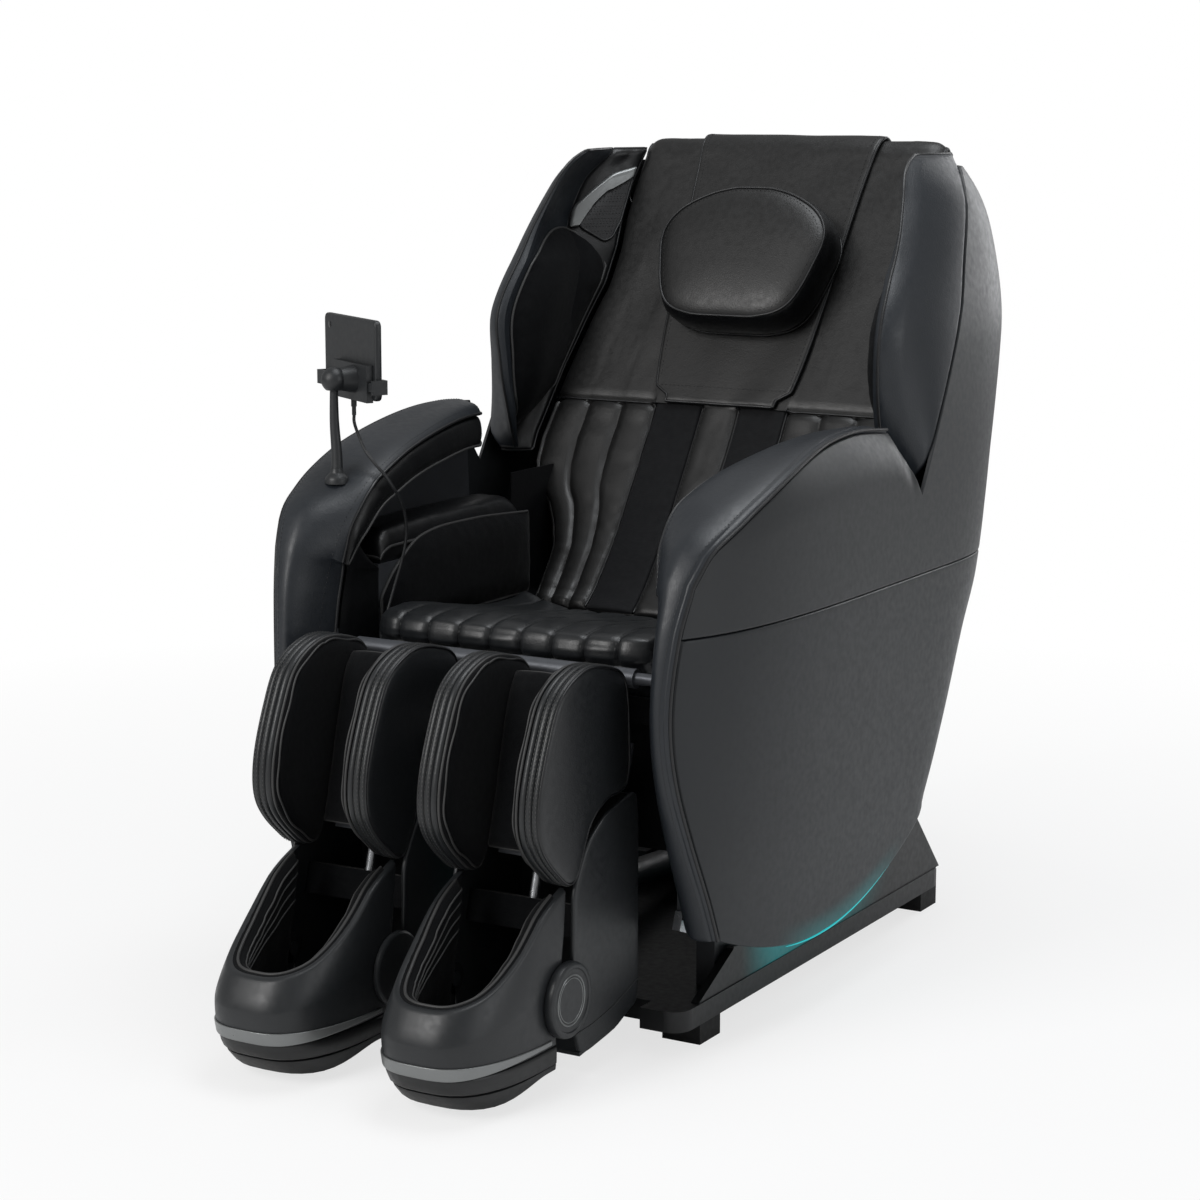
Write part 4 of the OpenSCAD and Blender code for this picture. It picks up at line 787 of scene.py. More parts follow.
# strip of light along the panel's lower edge
glow_line = [Vector((skin_x(y, arc_z(y, PANEL_R + 3), 4), y, arc_z(y, PANEL_R + 3)))
             for y in spread(60, -270, 110)]
make("light_edge", [tube(glow_line, 1, 10, 6, taper=lambda t: 0.3 + 1.1 * sin(pi * t) ** 0.6)], LIGHT,
     "light_plastic", "recliner", both=True)

ARM_IN, ARM_OUT, SHELF_Z = 250, 339.6, 598
REST_Y, HIP_Y, SHELF_GAP = (-345, 30), (-348, 46), 5.3
ROLL_S = [1.0 + t for t in fine(60, 0.02)]
ROLL_DEPTH = [(1, 6), (1.05, 22), (1.12, 34), (1.3, 40), (1.6, 46), (1.9, 48), (2, 40)]


def roll_ring(s):
    """Section of the leather roll under the band, in (x, distance from the arm's line)."""
    k = lookup(ROLL_DEPTH, s) / 43
    puff = 1.6 * ripple(s * 9, 0, 5) + 1.0 * ripple(s * 26, 3, 5)
    top = curve(BAND_INNER, s)
    out = max(ARM_OUT, top + 20)
    shape = [(out, 1.5), (top + 16, 1.5), (top + 6, 0.5), (top + 2, -3), (top - 1 - puff / 2, -9),
             (top - 3 - puff, -17), (top - 4 - puff, -26), (top - 3 - puff / 2, -33), (top - 1, -38.5),
             (top + 4, -41.5), (top + 14, -43), (out - 6, -41), (out, -36)]
    return [Vector((x, *off_edge(s, (h * k if h < 0 else h) - nose(s, 0)))) for x, h in shape]


rings = [roll_ring(s) for s in ROLL_S]
roll = [loft(rings), tube([r[8] + Vector((-1.2, 0, 0)) for r in rings], 2.3, mat=1),
        stitches([r[6] + Vector((-0.6, 0, -0.2)) for r in rings[4:-4]], 7, 4.4, 0.55, mat=2)]
make("arm_roll", roll, [DARK_LEATHER, GREY_PIPING, PIPING], "roll_leather", "recliner", ["arm_rolls"],
     both=True, subdivide=1, fill=0.8)

REST_H = [(-345, 16), (-338, 34), (-320, 48), (-190, 52), (10, 52), (24, 44), (30, 30)]


def rest_top(c, t):
    y = lerp(*REST_Y, t)
    return Vector((lerp(ARM_IN, ARM_OUT, c), y,
                   SHELF_Z + SHELF_GAP + lookup(REST_H, y) * (0.75 + 0.25 * crown(c, 4))))


def rest_base(c, t):
    return Vector((lerp(ARM_IN, ARM_OUT, c), lerp(*REST_Y, t), SHELF_Z + SHELF_GAP))


rest = piped(pad(rest_top, rest_base, fine(22, 0.12), fine(60, 0.05), 16, 3, 0.6, pucker=1.6, reach=22), 2.2)
make("arm_rest_pad", rest, [DARK_LEATHER, GREY_PIPING], "roll_leather", "recliner", ["arm_rest_pads"],
     both=True, fill=0.7)

HIP_TOP = [(-350, 554), (-313, 592), (-248, 630), (-115, 637), (44, 628)]


def hip_at(depth):
    def at(c, v):
        y = lerp(*HIP_Y, c)
        return Vector((ARM_IN - 0.3 - depth * (0.3 + 0.7 * crown(v, 4) * crown((y + 350) / 400, 8)),
                       y, lerp(506, curve(HIP_TOP, y), v)))
    return at


hip = pad(hip_at(21), hip_at(0), fine(60, 0.05), fine(26, 0.12), 16, 6, 0.45, pucker=2.4, reach=24)
hip_seam = [p + Vector((-3.2, 0, -5)) for p in hip[1][-1][6:-6]]
make("hip_pad", piped(hip, 2.4) + [stitches(hip_seam, 7, 4.4, 0.55, mat=1)], [FABRIC, GREY_PIPING],
     "black_fabric", "recliner", ["hip_pads"], both=True, fill=0.7)


# ----- seat cushion: padded channels from front to back
SEAT_HALF, SEAT_RIB, SEAT_REAR, SEAT_Z = 222, 50, -24, 470.4
SEAT_PATH = vectors([(-410, 510), (-419, 521), (-416, 538), (-400, 550), (-340, 552), (-250, 537),
                     (-150, 517), (-60, 503), (SEAT_REAR, 500)])
SEAT_END = len(SEAT_PATH) - 1
SEAMS = [SEAT_RIB * (k + 0.5) for k in range(4)]


def seat_at(x, v, h):
    q, d = along(SEAT_PATH, v), heading(SEAT_PATH, v)
    y, z = q[0] - d[1] * h, q[1] + d[0] * h
    corner = 24 * (abs(x) / SEAT_HALF) ** 7 * clamp(1 - (y + 416) / 150)
    return Vector((x, y + corner, z))


def seat_height(x, v):
    """Channels between the seams, flatter where the sitter's weight lies; the sides rise to the back."""
    a = abs(x)
    t = ((a + SEAT_RIB / 2) / SEAT_RIB) % 1 if a < SEAMS[-1] else 0.5 * clamp((a - SEAMS[-1]) / 20)
    deep = 5.5 * abs(2 * t - 1) ** 5 * (0.55 + 0.45 * clamp((4.5 - v) / 3))
    rise = 24 * clamp((a - 120) / 80) ** 1.5 * clamp((v - 5.4) / 2.6) ** 1.4
    k = floor((x + SEAT_RIB / 2) / SEAT_RIB)
    wave = 1.3 * ripple(x * 0.02, v * 0.9, 2) + 1.1 * ripple(k * 3.7, v * 2.1, 7)
    return wave + rise - deep - 7 * clamp((a - 190) / 32) ** 3


def on_seat(x, v, h=0.0):
    return seat_at(x, v, seat_height(x, v) + h)


def seat_under(x, v):
    y = seat_at(x, v, 0)[1]
    return Vector((x, max(y, -408), lookup([(-402, 508), (-394, SEAT_Z), (0, SEAT_Z)], y)))


CHANNEL_STEPS = (0, 0.03, 0.08, 0.16, 0.3, 0.5, 0.7, 0.84, 0.92, 0.97)
SEAT_SIDE = (175, 177, 181, 188, 196, 204, 211, 216, 219, 221, SEAT_HALF)
SEAT_X = sorted({*[c * (SEAT_RIB * k + SEAT_RIB * f) for c in (-1, 1) for k in (0.5, 1.5, 2.5)
                   for f in CHANNEL_STEPS],
                 *[SEAT_RIB * f for f in (-0.47, -0.42, -0.34, -0.2, 0, 0.2, 0.34, 0.42, 0.47)],
                 *[c * x for c in (-1, 1) for x in SEAT_SIDE]})
SEAT_V = [SEAT_END * t for t in fine(96, 0.012)]
seat_solid, seat_grid, _ = pad(on_seat, seat_under, SEAT_X, SEAT_V, 9, 3, 0.35)
seat = [seat_solid, tube(seat_grid[0], 2.4, mat=3)]
seat += [tube([row[c] for row in seat_grid], 2.2, mat=3) for c in (0, -1)]
for x0 in SEAMS:
    for x in (-x0, x0):
        seat.append(tube([on_seat(x, v, 0.2) for v in SEAT_V[3:-3]], 0.9, 6, 7, mat=1))
        beside = x + (3.4 if x < 0 else -3.4)
        seat.append(stitches([on_seat(beside, v, 0.4) for v in SEAT_V[4:-4]], 7.5, 4.6, 0.5, mat=2))
make("seat_cushion_cover", seat, [LEATHER, DARK_LEATHER, PIPING, GREY_PIPING], "seat_leather", "recliner",
     ["seat_cushion"], smooth=50, fill=0.7)


def apron_at(depth):
    def at(u, v):
        x, z = lerp(-SEAT_HALF, SEAT_HALF, u), lerp(436, 470, v)
        return Vector((x, -394.4 - depth * (1 + 0.5 * ripple(x * 0.03, 0, z * 0.05)), z))
    return at


apron, apron_grid, _ = pad(apron_at(6), apron_at(0), fine(60, 0.02), fine(8, 0.2), 3)
make("seat_apron_cover", [apron, tube(apron_grid[1], 1.8, step=8)], [FABRIC], "black_fabric", "recliner",
     ["seat_apron"])

# ----- back cushion
BACK_PATH = vectors([(-12, 503), (14, 524), (48, 561), (92, 617), (141, 690), (211, 797), (290, 930),
                     (365, 1060), (412, 1138), (434, 1172), (455, 1184), (474, 1172), (480, 1150)])
BACK_THICK = [(0, 26), (2, 62), (7, 62), (8, 26), (9, 13), (9.6, 12), (12, 9)]
BACK_HALF = [(0, 214), (2.4, 224), (2.95, 241), (3.33, 259), (3.62, 284), (4.03, 303), (4.4, 307), (4.9, 301),
             (5.3, 294), (5.78, 280), (6.23, 264), (6.62, 262), (7.05, 267), (7.6, 266), (8.58, 258),
             (12, 256)]
STRIP_IN, STRIP_OUT, SEAM_U = 31, 113, 4.92
RIB_F = [0, 0.31, 0.62, 0.92]
BACK_CACHE = {}


def on_back(x, u, h):
    """The point at x and path step u, h in front of the back's middle line."""
    if u not in BACK_CACHE:
        d = heading(BACK_PATH, u)
        BACK_CACHE[u] = along(BACK_PATH, u), Vector((-d[1], d[0]))
    q, n = BACK_CACHE[u]
    return Vector((x, q[0] + n[0] * h, q[1] + n[1] * h))


def rib_x(f, u):
    return lerp(STRIP_OUT, lookup(BACK_HALF, u), f)


def back_height(x, u):
    """How far the surface lies below the crown: quilted ribs below the cross seam, plain leather above it."""
    a = abs(x)
    half = lookup(BACK_HALF, u)
    side = -9 * clamp((a - half + 34) / 34) ** 3
    wave = 1.4 * ripple(x * 0.02, u * 1.3, 1) + 0.8 * ripple(x * 0.07, u * 4, 4)
    seam = -5 * exp(-((u - SEAM_U) / 0.035) ** 2) if a > STRIP_OUT else 0
    if u >= SEAM_U:
        return side + wave * 0.8 + seam - 2.5 * exp(-((a - STRIP_OUT - 10) / 3) ** 2) * (u < 9)
    if a < STRIP_IN:
        rib = -5.5 * (a / STRIP_IN) ** 4
    elif a < STRIP_OUT:
        rib = -6.5 - 2 * abs(2 * (a - STRIP_IN) / (STRIP_OUT - STRIP_IN) - 1) ** 4
    else:
        edges = [rib_x(f, u) for f in RIB_F] + [half + 14]
        k = max(i for i in range(len(RIB_F)) if a >= edges[i])
        t = (a - edges[k]) / (edges[k + 1] - edges[k])
        rib = -6 * abs(2 * t - 1) ** 4
        wave += 1.2 * ripple(k * 7, u * 5.5, 9)
    return rib + side + wave + seam


def back_x(k, u):
    """Columns stay on the seam lines: k counts from 0 in the middle to 1 at the edge."""
    half = lookup(BACK_HALF, u)
    return lookup([(0, 0), (0.12, STRIP_IN), (0.4, STRIP_OUT)]
                  + [(0.4 + 0.5 * f / RIB_F[3], rib_x(f, u)) for f in RIB_F[1:]] + [(1, half)], k)


RIB_STEPS = (0, 0.04, 0.12, 0.25, 0.5, 0.75, 0.88, 0.96)
BACK_K = sorted({*spread(6, 0, 0.1), 0.11, 0.116, 0.12, 0.124, 0.13, *spread(8, 0.15, 0.37), 0.385, 0.394,
                 0.4, 0.406, *[0.4 + 0.5 / 3 * (k + f) for k in range(3) for f in RIB_STEPS],
                 0.9, 0.91, 0.93, 0.96, 0.98, 0.99, 1})
BACK_K = [-k for k in reversed(BACK_K[1:])] + BACK_K
BACK_U = ([0, 0.05, 0.15, 0.3] + spread(46, 0.45, 4.8) + [4.85, 4.885, 4.905, 4.92, 4.935, 4.955, 4.99]
          + spread(38, 5.06, 9) + spread(26, 9.1, 11.7) + [11.8, 11.88, 11.95, 12])


def signed_back_x(k, u):
    return back_x(abs(k), u) * (1 if k > 0 else -1)


def back_top(k, u):
    x = signed_back_x(k, u)
    return on_back(x, u, back_height(x, u))


def back_low(k, u):
    x = signed_back_x(k, u)
    thin = 20 if abs(x) <= 0.47 * lookup(BACK_HALF, u) and u < 7.2 else lookup(BACK_THICK, u)
    return on_back(x, u, -thin)


back, back_grid, _ = pad(back_top, back_low, BACK_K, BACK_U, 16, 4, 0.55)


def back_line(x_of, us, h):
    """A line h above the back's surface; x_of gives its place across at each step."""
    return [on_back(x_of(u), u, back_height(x_of(u), u) + h) for u in us]


cut = near(BACK_U, SEAM_U)
parts = [back]
parts += [tube([row[c] for row in back_grid], 2.4, mat=1) for c in (0, -1)]
for sign in (1, -1):
    for x0, aside in ((STRIP_IN, -5), (STRIP_OUT, 5)):
        parts.append(tube(back_line(lambda u: sign * x0, BACK_U[2:cut + 1], 1.2), 1.6, mat=1))
        sewn = back_line(lambda u: sign * (x0 + aside), BACK_U[2:cut], 0.5)
        parts.append(stitches(sewn, 7, 4.4, 0.55, mat=2))
    for f in RIB_F[1:]:
        sewn = back_line(lambda u: sign * rib_x(f, u), BACK_U[2:cut], 0.6)
        parts.append(stitches(sewn, 6, 4.2, 0.6, mat=2))
    line = [on_back(sign * x, SEAM_U, back_height(sign * x, SEAM_U) + 1.5)
            for x in spread(30, STRIP_OUT, lookup(BACK_HALF, SEAM_U) - 6)]
    parts.append(tube(line, 1.5, mat=1))
make("back_cushion_cover", parts, [WARM_LEATHER, PIPING, GREY_PIPING], "back_leather", "recliner",
     ["back_cushion"], smooth=50, fill=0.7)

STRIP_SINK = -7.5
strips = []
for x0, x1 in ((STRIP_IN, STRIP_OUT), (-STRIP_OUT, -STRIP_IN)):
    us, vs = fine(12, 0.1), [4.98 * t for t in fine(60, 0.01)]

    def strip_top(a, u):
        puff = 1.5 * crown(a, 2) + 0.9 * ripple(a * 2 + x0, u * 2.2, 3)
        return on_back(lerp(x0 + 1.5, x1 - 1.5, a), u, STRIP_SINK + 4.5 + puff)

    def strip_base(a, u):
        return on_back(lerp(x0 + 1.5, x1 - 1.5, a), u, STRIP_SINK - 3)
    strips.append(pad(strip_top, strip_base, us, vs, 5, 2, 0.5)[0])
make("back_strips", strips, [STRIP_FABRIC], "black_fabric", "recliner", smooth=50)

# ----- head flap and pillow
FLAP_HALF = [(4.93, 112), (5.6, 126), (7, 141), (9, 152), (12, 156)]


def flap_at(h):
    def at(c, u):
        half = curve(FLAP_HALF, u) * sqrt(clamp(1 - clamp((5.13 - u) / 0.2) ** 2, 0.68))
        lie = 1.2 * ripple(c * 2.2, u * 1.2, 8)
        return on_back(c * half, u, h + (lie if h > 1 else 0) + 1.5)
    return at


FLAP_U = [4.93 + 7.07 * t for t in fine(70, 0.012)]
FLAP_C = [2 * c - 1 for c in fine(34, 0.03)]
flap = pad(flap_at(6), flap_at(0.6), FLAP_C, FLAP_U, 4, 2, 0.5, pucker=0.5, reach=16)
inset = [lift(flap[1], i=near(FLAP_C, c), h=0.4)[8:-6] for c in (-0.93, 0.93)]
inset.append(lift(flap[1], j=near(FLAP_U, 5.09), h=0.4)[6:-6])
flap_parts = piped(flap, 2.4) + [stitches(line, 7, 4.5, 0.55, mat=2) for line in inset]
make("head_flap_cover", flap_parts, [WARM_LEATHER, PIPING, PIPING], "pillow_leather", "recliner",
     ["head_flap"], smooth=50)

PILLOW_HALF = [(-115, 0.36), (-106, 0.62), (-84, 0.8), (-20, 0.95), (35, 1), (75, 0.84), (104, 0.5),
               (115, 0.22)]
PILLOW_MID, PILLOW_UP = along(BACK_PATH, 6.4), heading(BACK_PATH, 6.4)


def pillow_point(x, v, h):
    """Place on the pillow: v up from its middle, h in front of the back."""
    return Vector((x, PILLOW_MID[0] + PILLOW_UP[0] * v - PILLOW_UP[1] * h,
                   PILLOW_MID[1] + PILLOW_UP[1] * v + PILLOW_UP[0] * h))


# ----- wings
NOSE_Y = [(700, 138), (774, 102), (850, 84), (930, 84), (1027, 150), (1106, 204), (1140, 228), (1158, 254),
          (1172, 294)]
NOSE_X = [(700, 334), (774, 331), (850, 333), (930, 336), (1027, 325), (1106, 306), (1150, 292), (1172, 284)]
WING_REAR = [(z, y) for y, z in WING_SEAM[1:]] + [(1172, 376)]
TUCK = 14
WING_T = [(700, 30), (774, 42), (1000, 42), (1060, 26), (1150, 16), (1172, 14)]
WING_NOSE = [(0, 1), (0.75, 0.98), (0.9, 0.85), (0.97, 0.65), (1, 0.4)]


def wing_out(z, w):
    """Outer face of the wing at height z: w from the seam behind it (0) to its nose (1)."""
    yr = lookup(WING_REAR, z) + TUCK
    return Vector((lerp(skin_x(yr, z), curve(NOSE_X, z), clamp(w) ** 2.4), lerp(yr, curve(NOSE_Y, z), w), z))


def wing_in(z, w, k=0):
    return wing_out(z, w) - Vector((lookup(WING_T, z) * lookup(WING_NOSE, w) + k, 0, 0))


WING_Z = [lerp(712, 1168, t) for t in fine(60, 0.05)]
WING_W = fine(34, 0.14)
wing = pad(lambda w, z: wing_out(z, w), lambda w, z: wing_in(z, w), WING_W, WING_Z, 26, 5, 0.16, pucker=0.8,
           reach=20)
rear_col = lift(wing[1], i=near(WING_W, 0.045), h=0.3)
wing_parts = piped(wing, 2.4) + [stitches(rear_col[5:-5], 7, 4.6, 0.6, mat=2)]
make_sides("wing", wing_parts, [BAND_LEATHER, PIPING, PIPING], "arm_leather", "recliner", "wing_pad",
           fill=0.8)

Z_TO_U = [(along(BACK_PATH, u)[1], u) for u in spread(100, 0, 10)]


def channel_at(t, z, h=0.0):
    """Padded wall from the wing's rear (t = 0) to the side of the back cushion (t = 1)."""
    u = lookup(Z_TO_U, z)
    a, b = wing_in(z, 0.03), Vector((lookup(BACK_HALF, u) + 3, along(BACK_PATH, u)[0] + 10, z))
    d = b - a
    return lerp(a, b, t) + Vector((-d[1], d[0], 0)).normalized() * h


def channel_top(t, z):
    return channel_at(t, z, 2 + 4 * crown(t, 3) + 1.2 * ripple(t * 3, z * 0.02, 5))


channel = pad(channel_top, lambda t, z: channel_at(t, z, -6), fine(16, 0.1),
              [lerp(706, 1168, t) for t in fine(60, 0.03)], 8, 3, 0.5, pucker=1.0, reach=14)
make("wing_lining", piped(channel, 2.2), [DARK_LEATHER, PIPING], "arm_leather", "recliner", both=True,
     smooth=50)


def inside(q, z, h):
    """Across the whole inner side: the wing from its nose, then the channel wall up to the cushion."""
    if q < 0.62:
        return wing_in(z, lerp(0.86, 0.03, q / 0.62), h)
    return channel_at((q - 0.62) / 0.38 * 0.9, z, h)


def shoulder_at(h):
    def at(q, v):
        bow = abs(2 * q - 0.95) ** 2.2
        z = lerp(738 + 60 * bow, 1046 - 55 * bow, v)
        if not h:
            return inside(q, z, 0.5)
        return inside(q, z, 5 + 50 * crown(v, 2.6) * crown(clamp(q), 3.4) + 1.5 * ripple(q * 3, v * 4, 2))
    return at


shoulder = pad(shoulder_at(1), shoulder_at(0), fine(36, 0.08), fine(46, 0.07), 13, 6, 0.45, pucker=2.0,
               reach=24)
make("shoulder_pad", piped(shoulder, 2.3), [FABRIC, GREY_PIPING], "black_fabric", "recliner",
     ["shoulder_pads"], both=True, smooth=50, fill=0.8)

# speaker: a bevelled silver bar round the outer and upper sides of a perforated plate
BAR = [(0.03, 1046), (0.0, 1078), (0.22, 1104), (0.48, 1130), (0.9, 1140), (0.93, 1124), (0.62, 1114),
       (0.42, 1092), (0.25, 1068), (0.2, 1048)]
PLATE = [(0.2, 1048), (0.25, 1068), (0.42, 1092), (0.62, 1114), (0.93, 1124), (0.97, 1060), (0.86, 1030),
         (0.72, 1024)]


def rounded(points, n=6, r=0.22):
    """Closed outline with its corners rounded off."""
    out, m = [], len(points)
    for k in range(m):
        a, b, c = (Vector(points[(k + d) % m]) for d in (-1, 0, 1))
        p, q = lerp(b, a, r), lerp(b, c, r)
        out += [lerp(lerp(p, b, t), lerp(b, q, t), t) for t in spread(n)]
    return out


def on_channel(line, h, shrink=0.0):
    """An outline laid on the channel wall, h above it and shrunk to its middle."""
    mid = sum(line, Vector((0, 0))) / len(line)
    return [channel_at(*lerp(p, mid, shrink), h) for p in line]


bar_line, plate_line = rounded(BAR, 4, 0.2), rounded(PLATE, 4, 0.2)
BAR_STEPS = [(3, 0), (9, 0), (11, 0.04), (12, 0.12), (12.2, 0.3), (12.2, 0.6)]
bar = loft([on_channel(bar_line, h, shrink) for h, shrink in BAR_STEPS])
plate = loft([on_channel(plate_line, 3), on_channel(plate_line, 7.5), on_channel(plate_line, 8, 0.05)], 1)
make("speaker", [bar, plate, tube(on_channel(plate_line, 8.4), 1.8, step=4, closed=True, mat=2)],
     [SILVER, GRILLE, PIPING], "silver_plastic", "recliner", ["speakers"], both=True, smooth=35)


def pillow_outline(n):
    """Closed outline of the pillow, n points, as (x, v)."""
    right = [(146 * curve(PILLOW_HALF, v), v) for v in spread(60, -115, 115)]
    line = [Vector((x, v, 0)) for x, v in right] + [Vector((-x, v, 0)) for x, v in reversed(right)]
    line = resample(line, 4, True)
    for _ in range(3):
        line = [(line[k - 1] + line[k] * 2 + line[(k + 1) % len(line)]) / 4 for k in range(len(line))]
    return resample(line, girth(line) / n, True)


def pillow_ring(outline, scale, h, wave=0.0):
    ring = []
    for p in outline:
        k = scale + wave * ripple(p[0] * 0.02, p[1] * 0.02, h * 0.05)
        ring.append(pillow_point(p[0] * k, (p[1] - 4) * k + 4, h))
    return ring


outline = pillow_outline(72)
PILLOW_STEPS = [(0.80, 6.5), (0.9, 7), (0.965, 12), (0.995, 22), (1.005, 34), (1.0, 48), (0.985, 58),
                (0.965, 65), (0.945, 69), (0.93, 70), (0.915, 71.5), (0.88, 74), (0.8, 77.5), (0.68, 80.2),
                (0.54, 82), (0.4, 83.2), (0.26, 83.8), (0.12, 84)]
rings = [pillow_ring(outline, s, h, 0.012 if 10 < h < 66 else 0.0) for s, h in PILLOW_STEPS]
pillow = [loft(rings[:10], 3), loft(rings[9:]),
          tube(pillow_ring(outline, 0.943, 70.4), 2.0, closed=True, mat=1),
          stitches(pillow_ring(outline, 0.885, 74.2), 7, 4.4, 0.5, closed=True, mat=2),
          tube(pillow_ring(outline, 0.972, 11.5), 1.8, closed=True, mat=1)]
make("head_pillow_cover", pillow, [WARM_LEATHER, PIPING, PIPING, DARK_LEATHER], "pillow_leather", "recliner",
     ["head_pillow"], smooth=60, fill=0.9)

# ----- leg rest: four padded walls, linings, calf cushions
LEG_X, LEG_HALF, CALF_WALL, LINING_T = 131, 94, 34, 14
LEG_OUT, LEG_INNER = LEG_X + LEG_HALF, LEG_X - LEG_HALF
CALF_LINE = [(-574, 540), (-518, 536), (-470, 512), (-458, 440), (-464, 370), (-518, 358), (-561, 331),
             (-600, 267), (-645, 290), (-683, 336), (-686, 392), (-662, 462), (-630, 515)]
CALF_MID = Vector((-575, 410))


def closed_curve(points, n):
    """n points on a smooth closed curve through the points."""
    p, m = vectors(points), len(points)
    out = []
    for k in range(n):
        u = k * m / n
        i = int(floor(u))
        a, b, c, d = p[i - 1], p[i % m], p[(i + 1) % m], p[(i + 2) % m]
        out.append(hermite(b, c, (c - a) / 2, (d - b) / 2, u - i))
    return out


CALF = closed_curve(CALF_LINE, 130)


def calf_ring(x, k, out=0.0):
    """The calf wall's outline at x, scaled by k about its middle and moved outwards."""
    ring = []
    for q in CALF:
        d = q - CALF_MID
        p = CALF_MID + d * k + d.normalized() * out
        ring.append(Vector((x, p[0], p[1])))
    return ring


# (distance from the inner face, share of the outline, mm outside it)
WALL_PROFILE = [(0, 0.9, 0), (0.4, 0.96, 0), (1.2, 1, -1.8), (2.4, 1, -0.4), (4, 1, 0.9), (6.5, 1, 1.5),
                (9, 1, 0.9), (10.3, 1, -0.4), (10.9, 1, -1.8), (11.5, 1, -0.4), (13.5, 1, 1.1), (16, 1, 1.7),
                (18.6, 1, 1.1), (20.2, 1, -0.4), (20.8, 1, -1.8), (21.4, 1, -0.4), (23.4, 1, 0.9),
                (26, 1, 1.2), (28.2, 1, 0.2), (29.4, 1, -1.2), (30, 1, -3), (31, 1, -4.2), (32.2, 0.94, 0),
                (33.2, 0.86, 0), (34, 0.74, 0), (34.5, 0.58, 0), (34.8, 0.4, 0), (35, 0.2, 0), (35, 0.06, 0)]


def calf_wall(x0, way):
    rings = [calf_ring(x0 + way * d, k, out) for d, k, out in WALL_PROFILE]
    solids = [loft(rings), tube(calf_ring(x0 + way * 30.2, 1, -1.6), 1.7, closed=True, mat=1)]
    for d in (13.2, 18.8, 23.2, 27.6):
        solids.append(stitches(calf_ring(x0 + way * d, 1, 1.5), 6, 3.8, 0.5, closed=True, mat=2))
    return solids


walls = calf_wall(LEG_OUT - CALF_WALL, 1) + calf_wall(LEG_INNER + CALF_WALL, -1)
make_sides("calf_wall", walls, [LEG_LEATHER, PIPING, THREAD], "leg_leather", "legrest", "calf_walls",
           smooth=50, fill=0.8)

LINING_PROFILE = [(0.2, 0.9, 0), (0.6, 0.955, 0), (2, 0.985, 0), (4, 0.99, 0), (6, 0.98, 0), (7.2, 0.965, 0),
                  (8.2, 0.95, 0), (10.4, 0.93, 0), (12, 0.89, 0), (13.2, 0.82, 0), (14, 0.7, 0),
                  (14.6, 0.55, 0), (15, 0.36, 0), (15.2, 0.15, 0)]
lining = []
for x0, way in ((LEG_OUT - CALF_WALL - 0.3, -1), (LEG_INNER + CALF_WALL + 0.3, 1)):
    lining.append(loft([calf_ring(x0 + way * d, k, out) for d, k, out in LINING_PROFILE]))
    lining.append(tube(calf_ring(x0 + way * 1.4, 0.99), 2.0, closed=True, mat=1))
    wavy = [p + (p - Vector((p[0], *CALF_MID))).normalized() * 1.4 * sin(k * 0.55)
            for k, p in enumerate(calf_ring(x0 + way * 7.6, 0.963))]
    lining.append(tube(wavy, 1.5, step=5, closed=True, mat=1))
make("calf_lining", lining, [FABRIC, GREY_PIPING], "black_fabric", "legrest", ["calf_linings"], both=True,
     smooth=50, fill=0.7)

CALF_PATH = vectors([(-530, 522), (-550, 492), (-566, 440), (-584, 370), (-604, 300)])
CALF_IN = LEG_HALF - CALF_WALL - LINING_T - 1


def calf_at(top):
    def at(c, u):
        q, d = along(CALF_PATH, u), heading(CALF_PATH, u)
        h = (6 - 10 * c * c + 1.2 * ripple(c * 2, u * 1.5, 6)) if top else -40
        return Vector((LEG_X + c * CALF_IN, q[0] + d[1] * h, q[1] - d[0] * h))
    return at


calf = pad(calf_at(True), calf_at(False), [2 * c - 1 for c in fine(20, 0.12)],
           [4 * t for t in fine(44, 0.06)], 14, 3, 0.72, pucker=1.5, reach=20)
make("calf_cushion", piped(calf, 2), [FABRIC, GREY_PIPING], "black_fabric", "legrest", ["calf_cushions"],
     both=True, smooth=50, fill=0.7)

# ----- lower shells and ankle discs
SHELL_SIDE = [(-605, 255), (-572, 310), (-524, 340), (-470, 352), (-446, 356), (-438, 322), (-438, 66),
              (-462, 58), (-499, 43), (-590, 31), (-606, 80), (-612, 122), (-606, 200)]
SHELL_SEAM = [(-600, 66), (-560, 68), (-505, 77), (-470, 88), (-441, 98)]
SHELL_WALL = 6


def side_wall(outline, x0, x1):
    """Upright plate with rounded outer edges; x1 is the show face."""
    way, r = (1 if x1 > x0 else -1), 3.5
    wall, mid = abs(x1 - x0), sum(outline, Vector((0, 0))) / len(outline)
    steps = [(0, 1.2), (0.3, 0.3), (1, 0), (wall - r, 0), (wall - r * 0.6, 0.25), (wall - r * 0.28, 0.9),
             (wall - r * 0.08, 2.0), (wall, 3.5), (wall, 12)]
    return loft([[Vector((x0 + way * d, *(p + (mid - p).normalized() * inset))) for p in outline]
                 for d, inset in steps])


def smooth_outline(points, n, r=0.2):
    line = [Vector((p[0], p[1], 0)) for p in rounded(points, 5, r)]
    return [Vector((p[0], p[1])) for p in resample(line, girth(line) / n, True)]


shell_line = smooth_outline(SHELL_SIDE, 150, 0.3)
lower = []
for x0, x1 in ((LEG_OUT - SHELL_WALL, LEG_OUT), (LEG_INNER + SHELL_WALL, LEG_INNER)):
    lower.append(side_wall(shell_line, x0, x1))
    way = 1 if x1 > x0 else -1
    seam = [Vector((x1 + way * 0.1, y, z)) for y, z in SHELL_SEAM]
    lower.append(tube(resample(seam, 6), 0.9, 6, 6, mat=1))


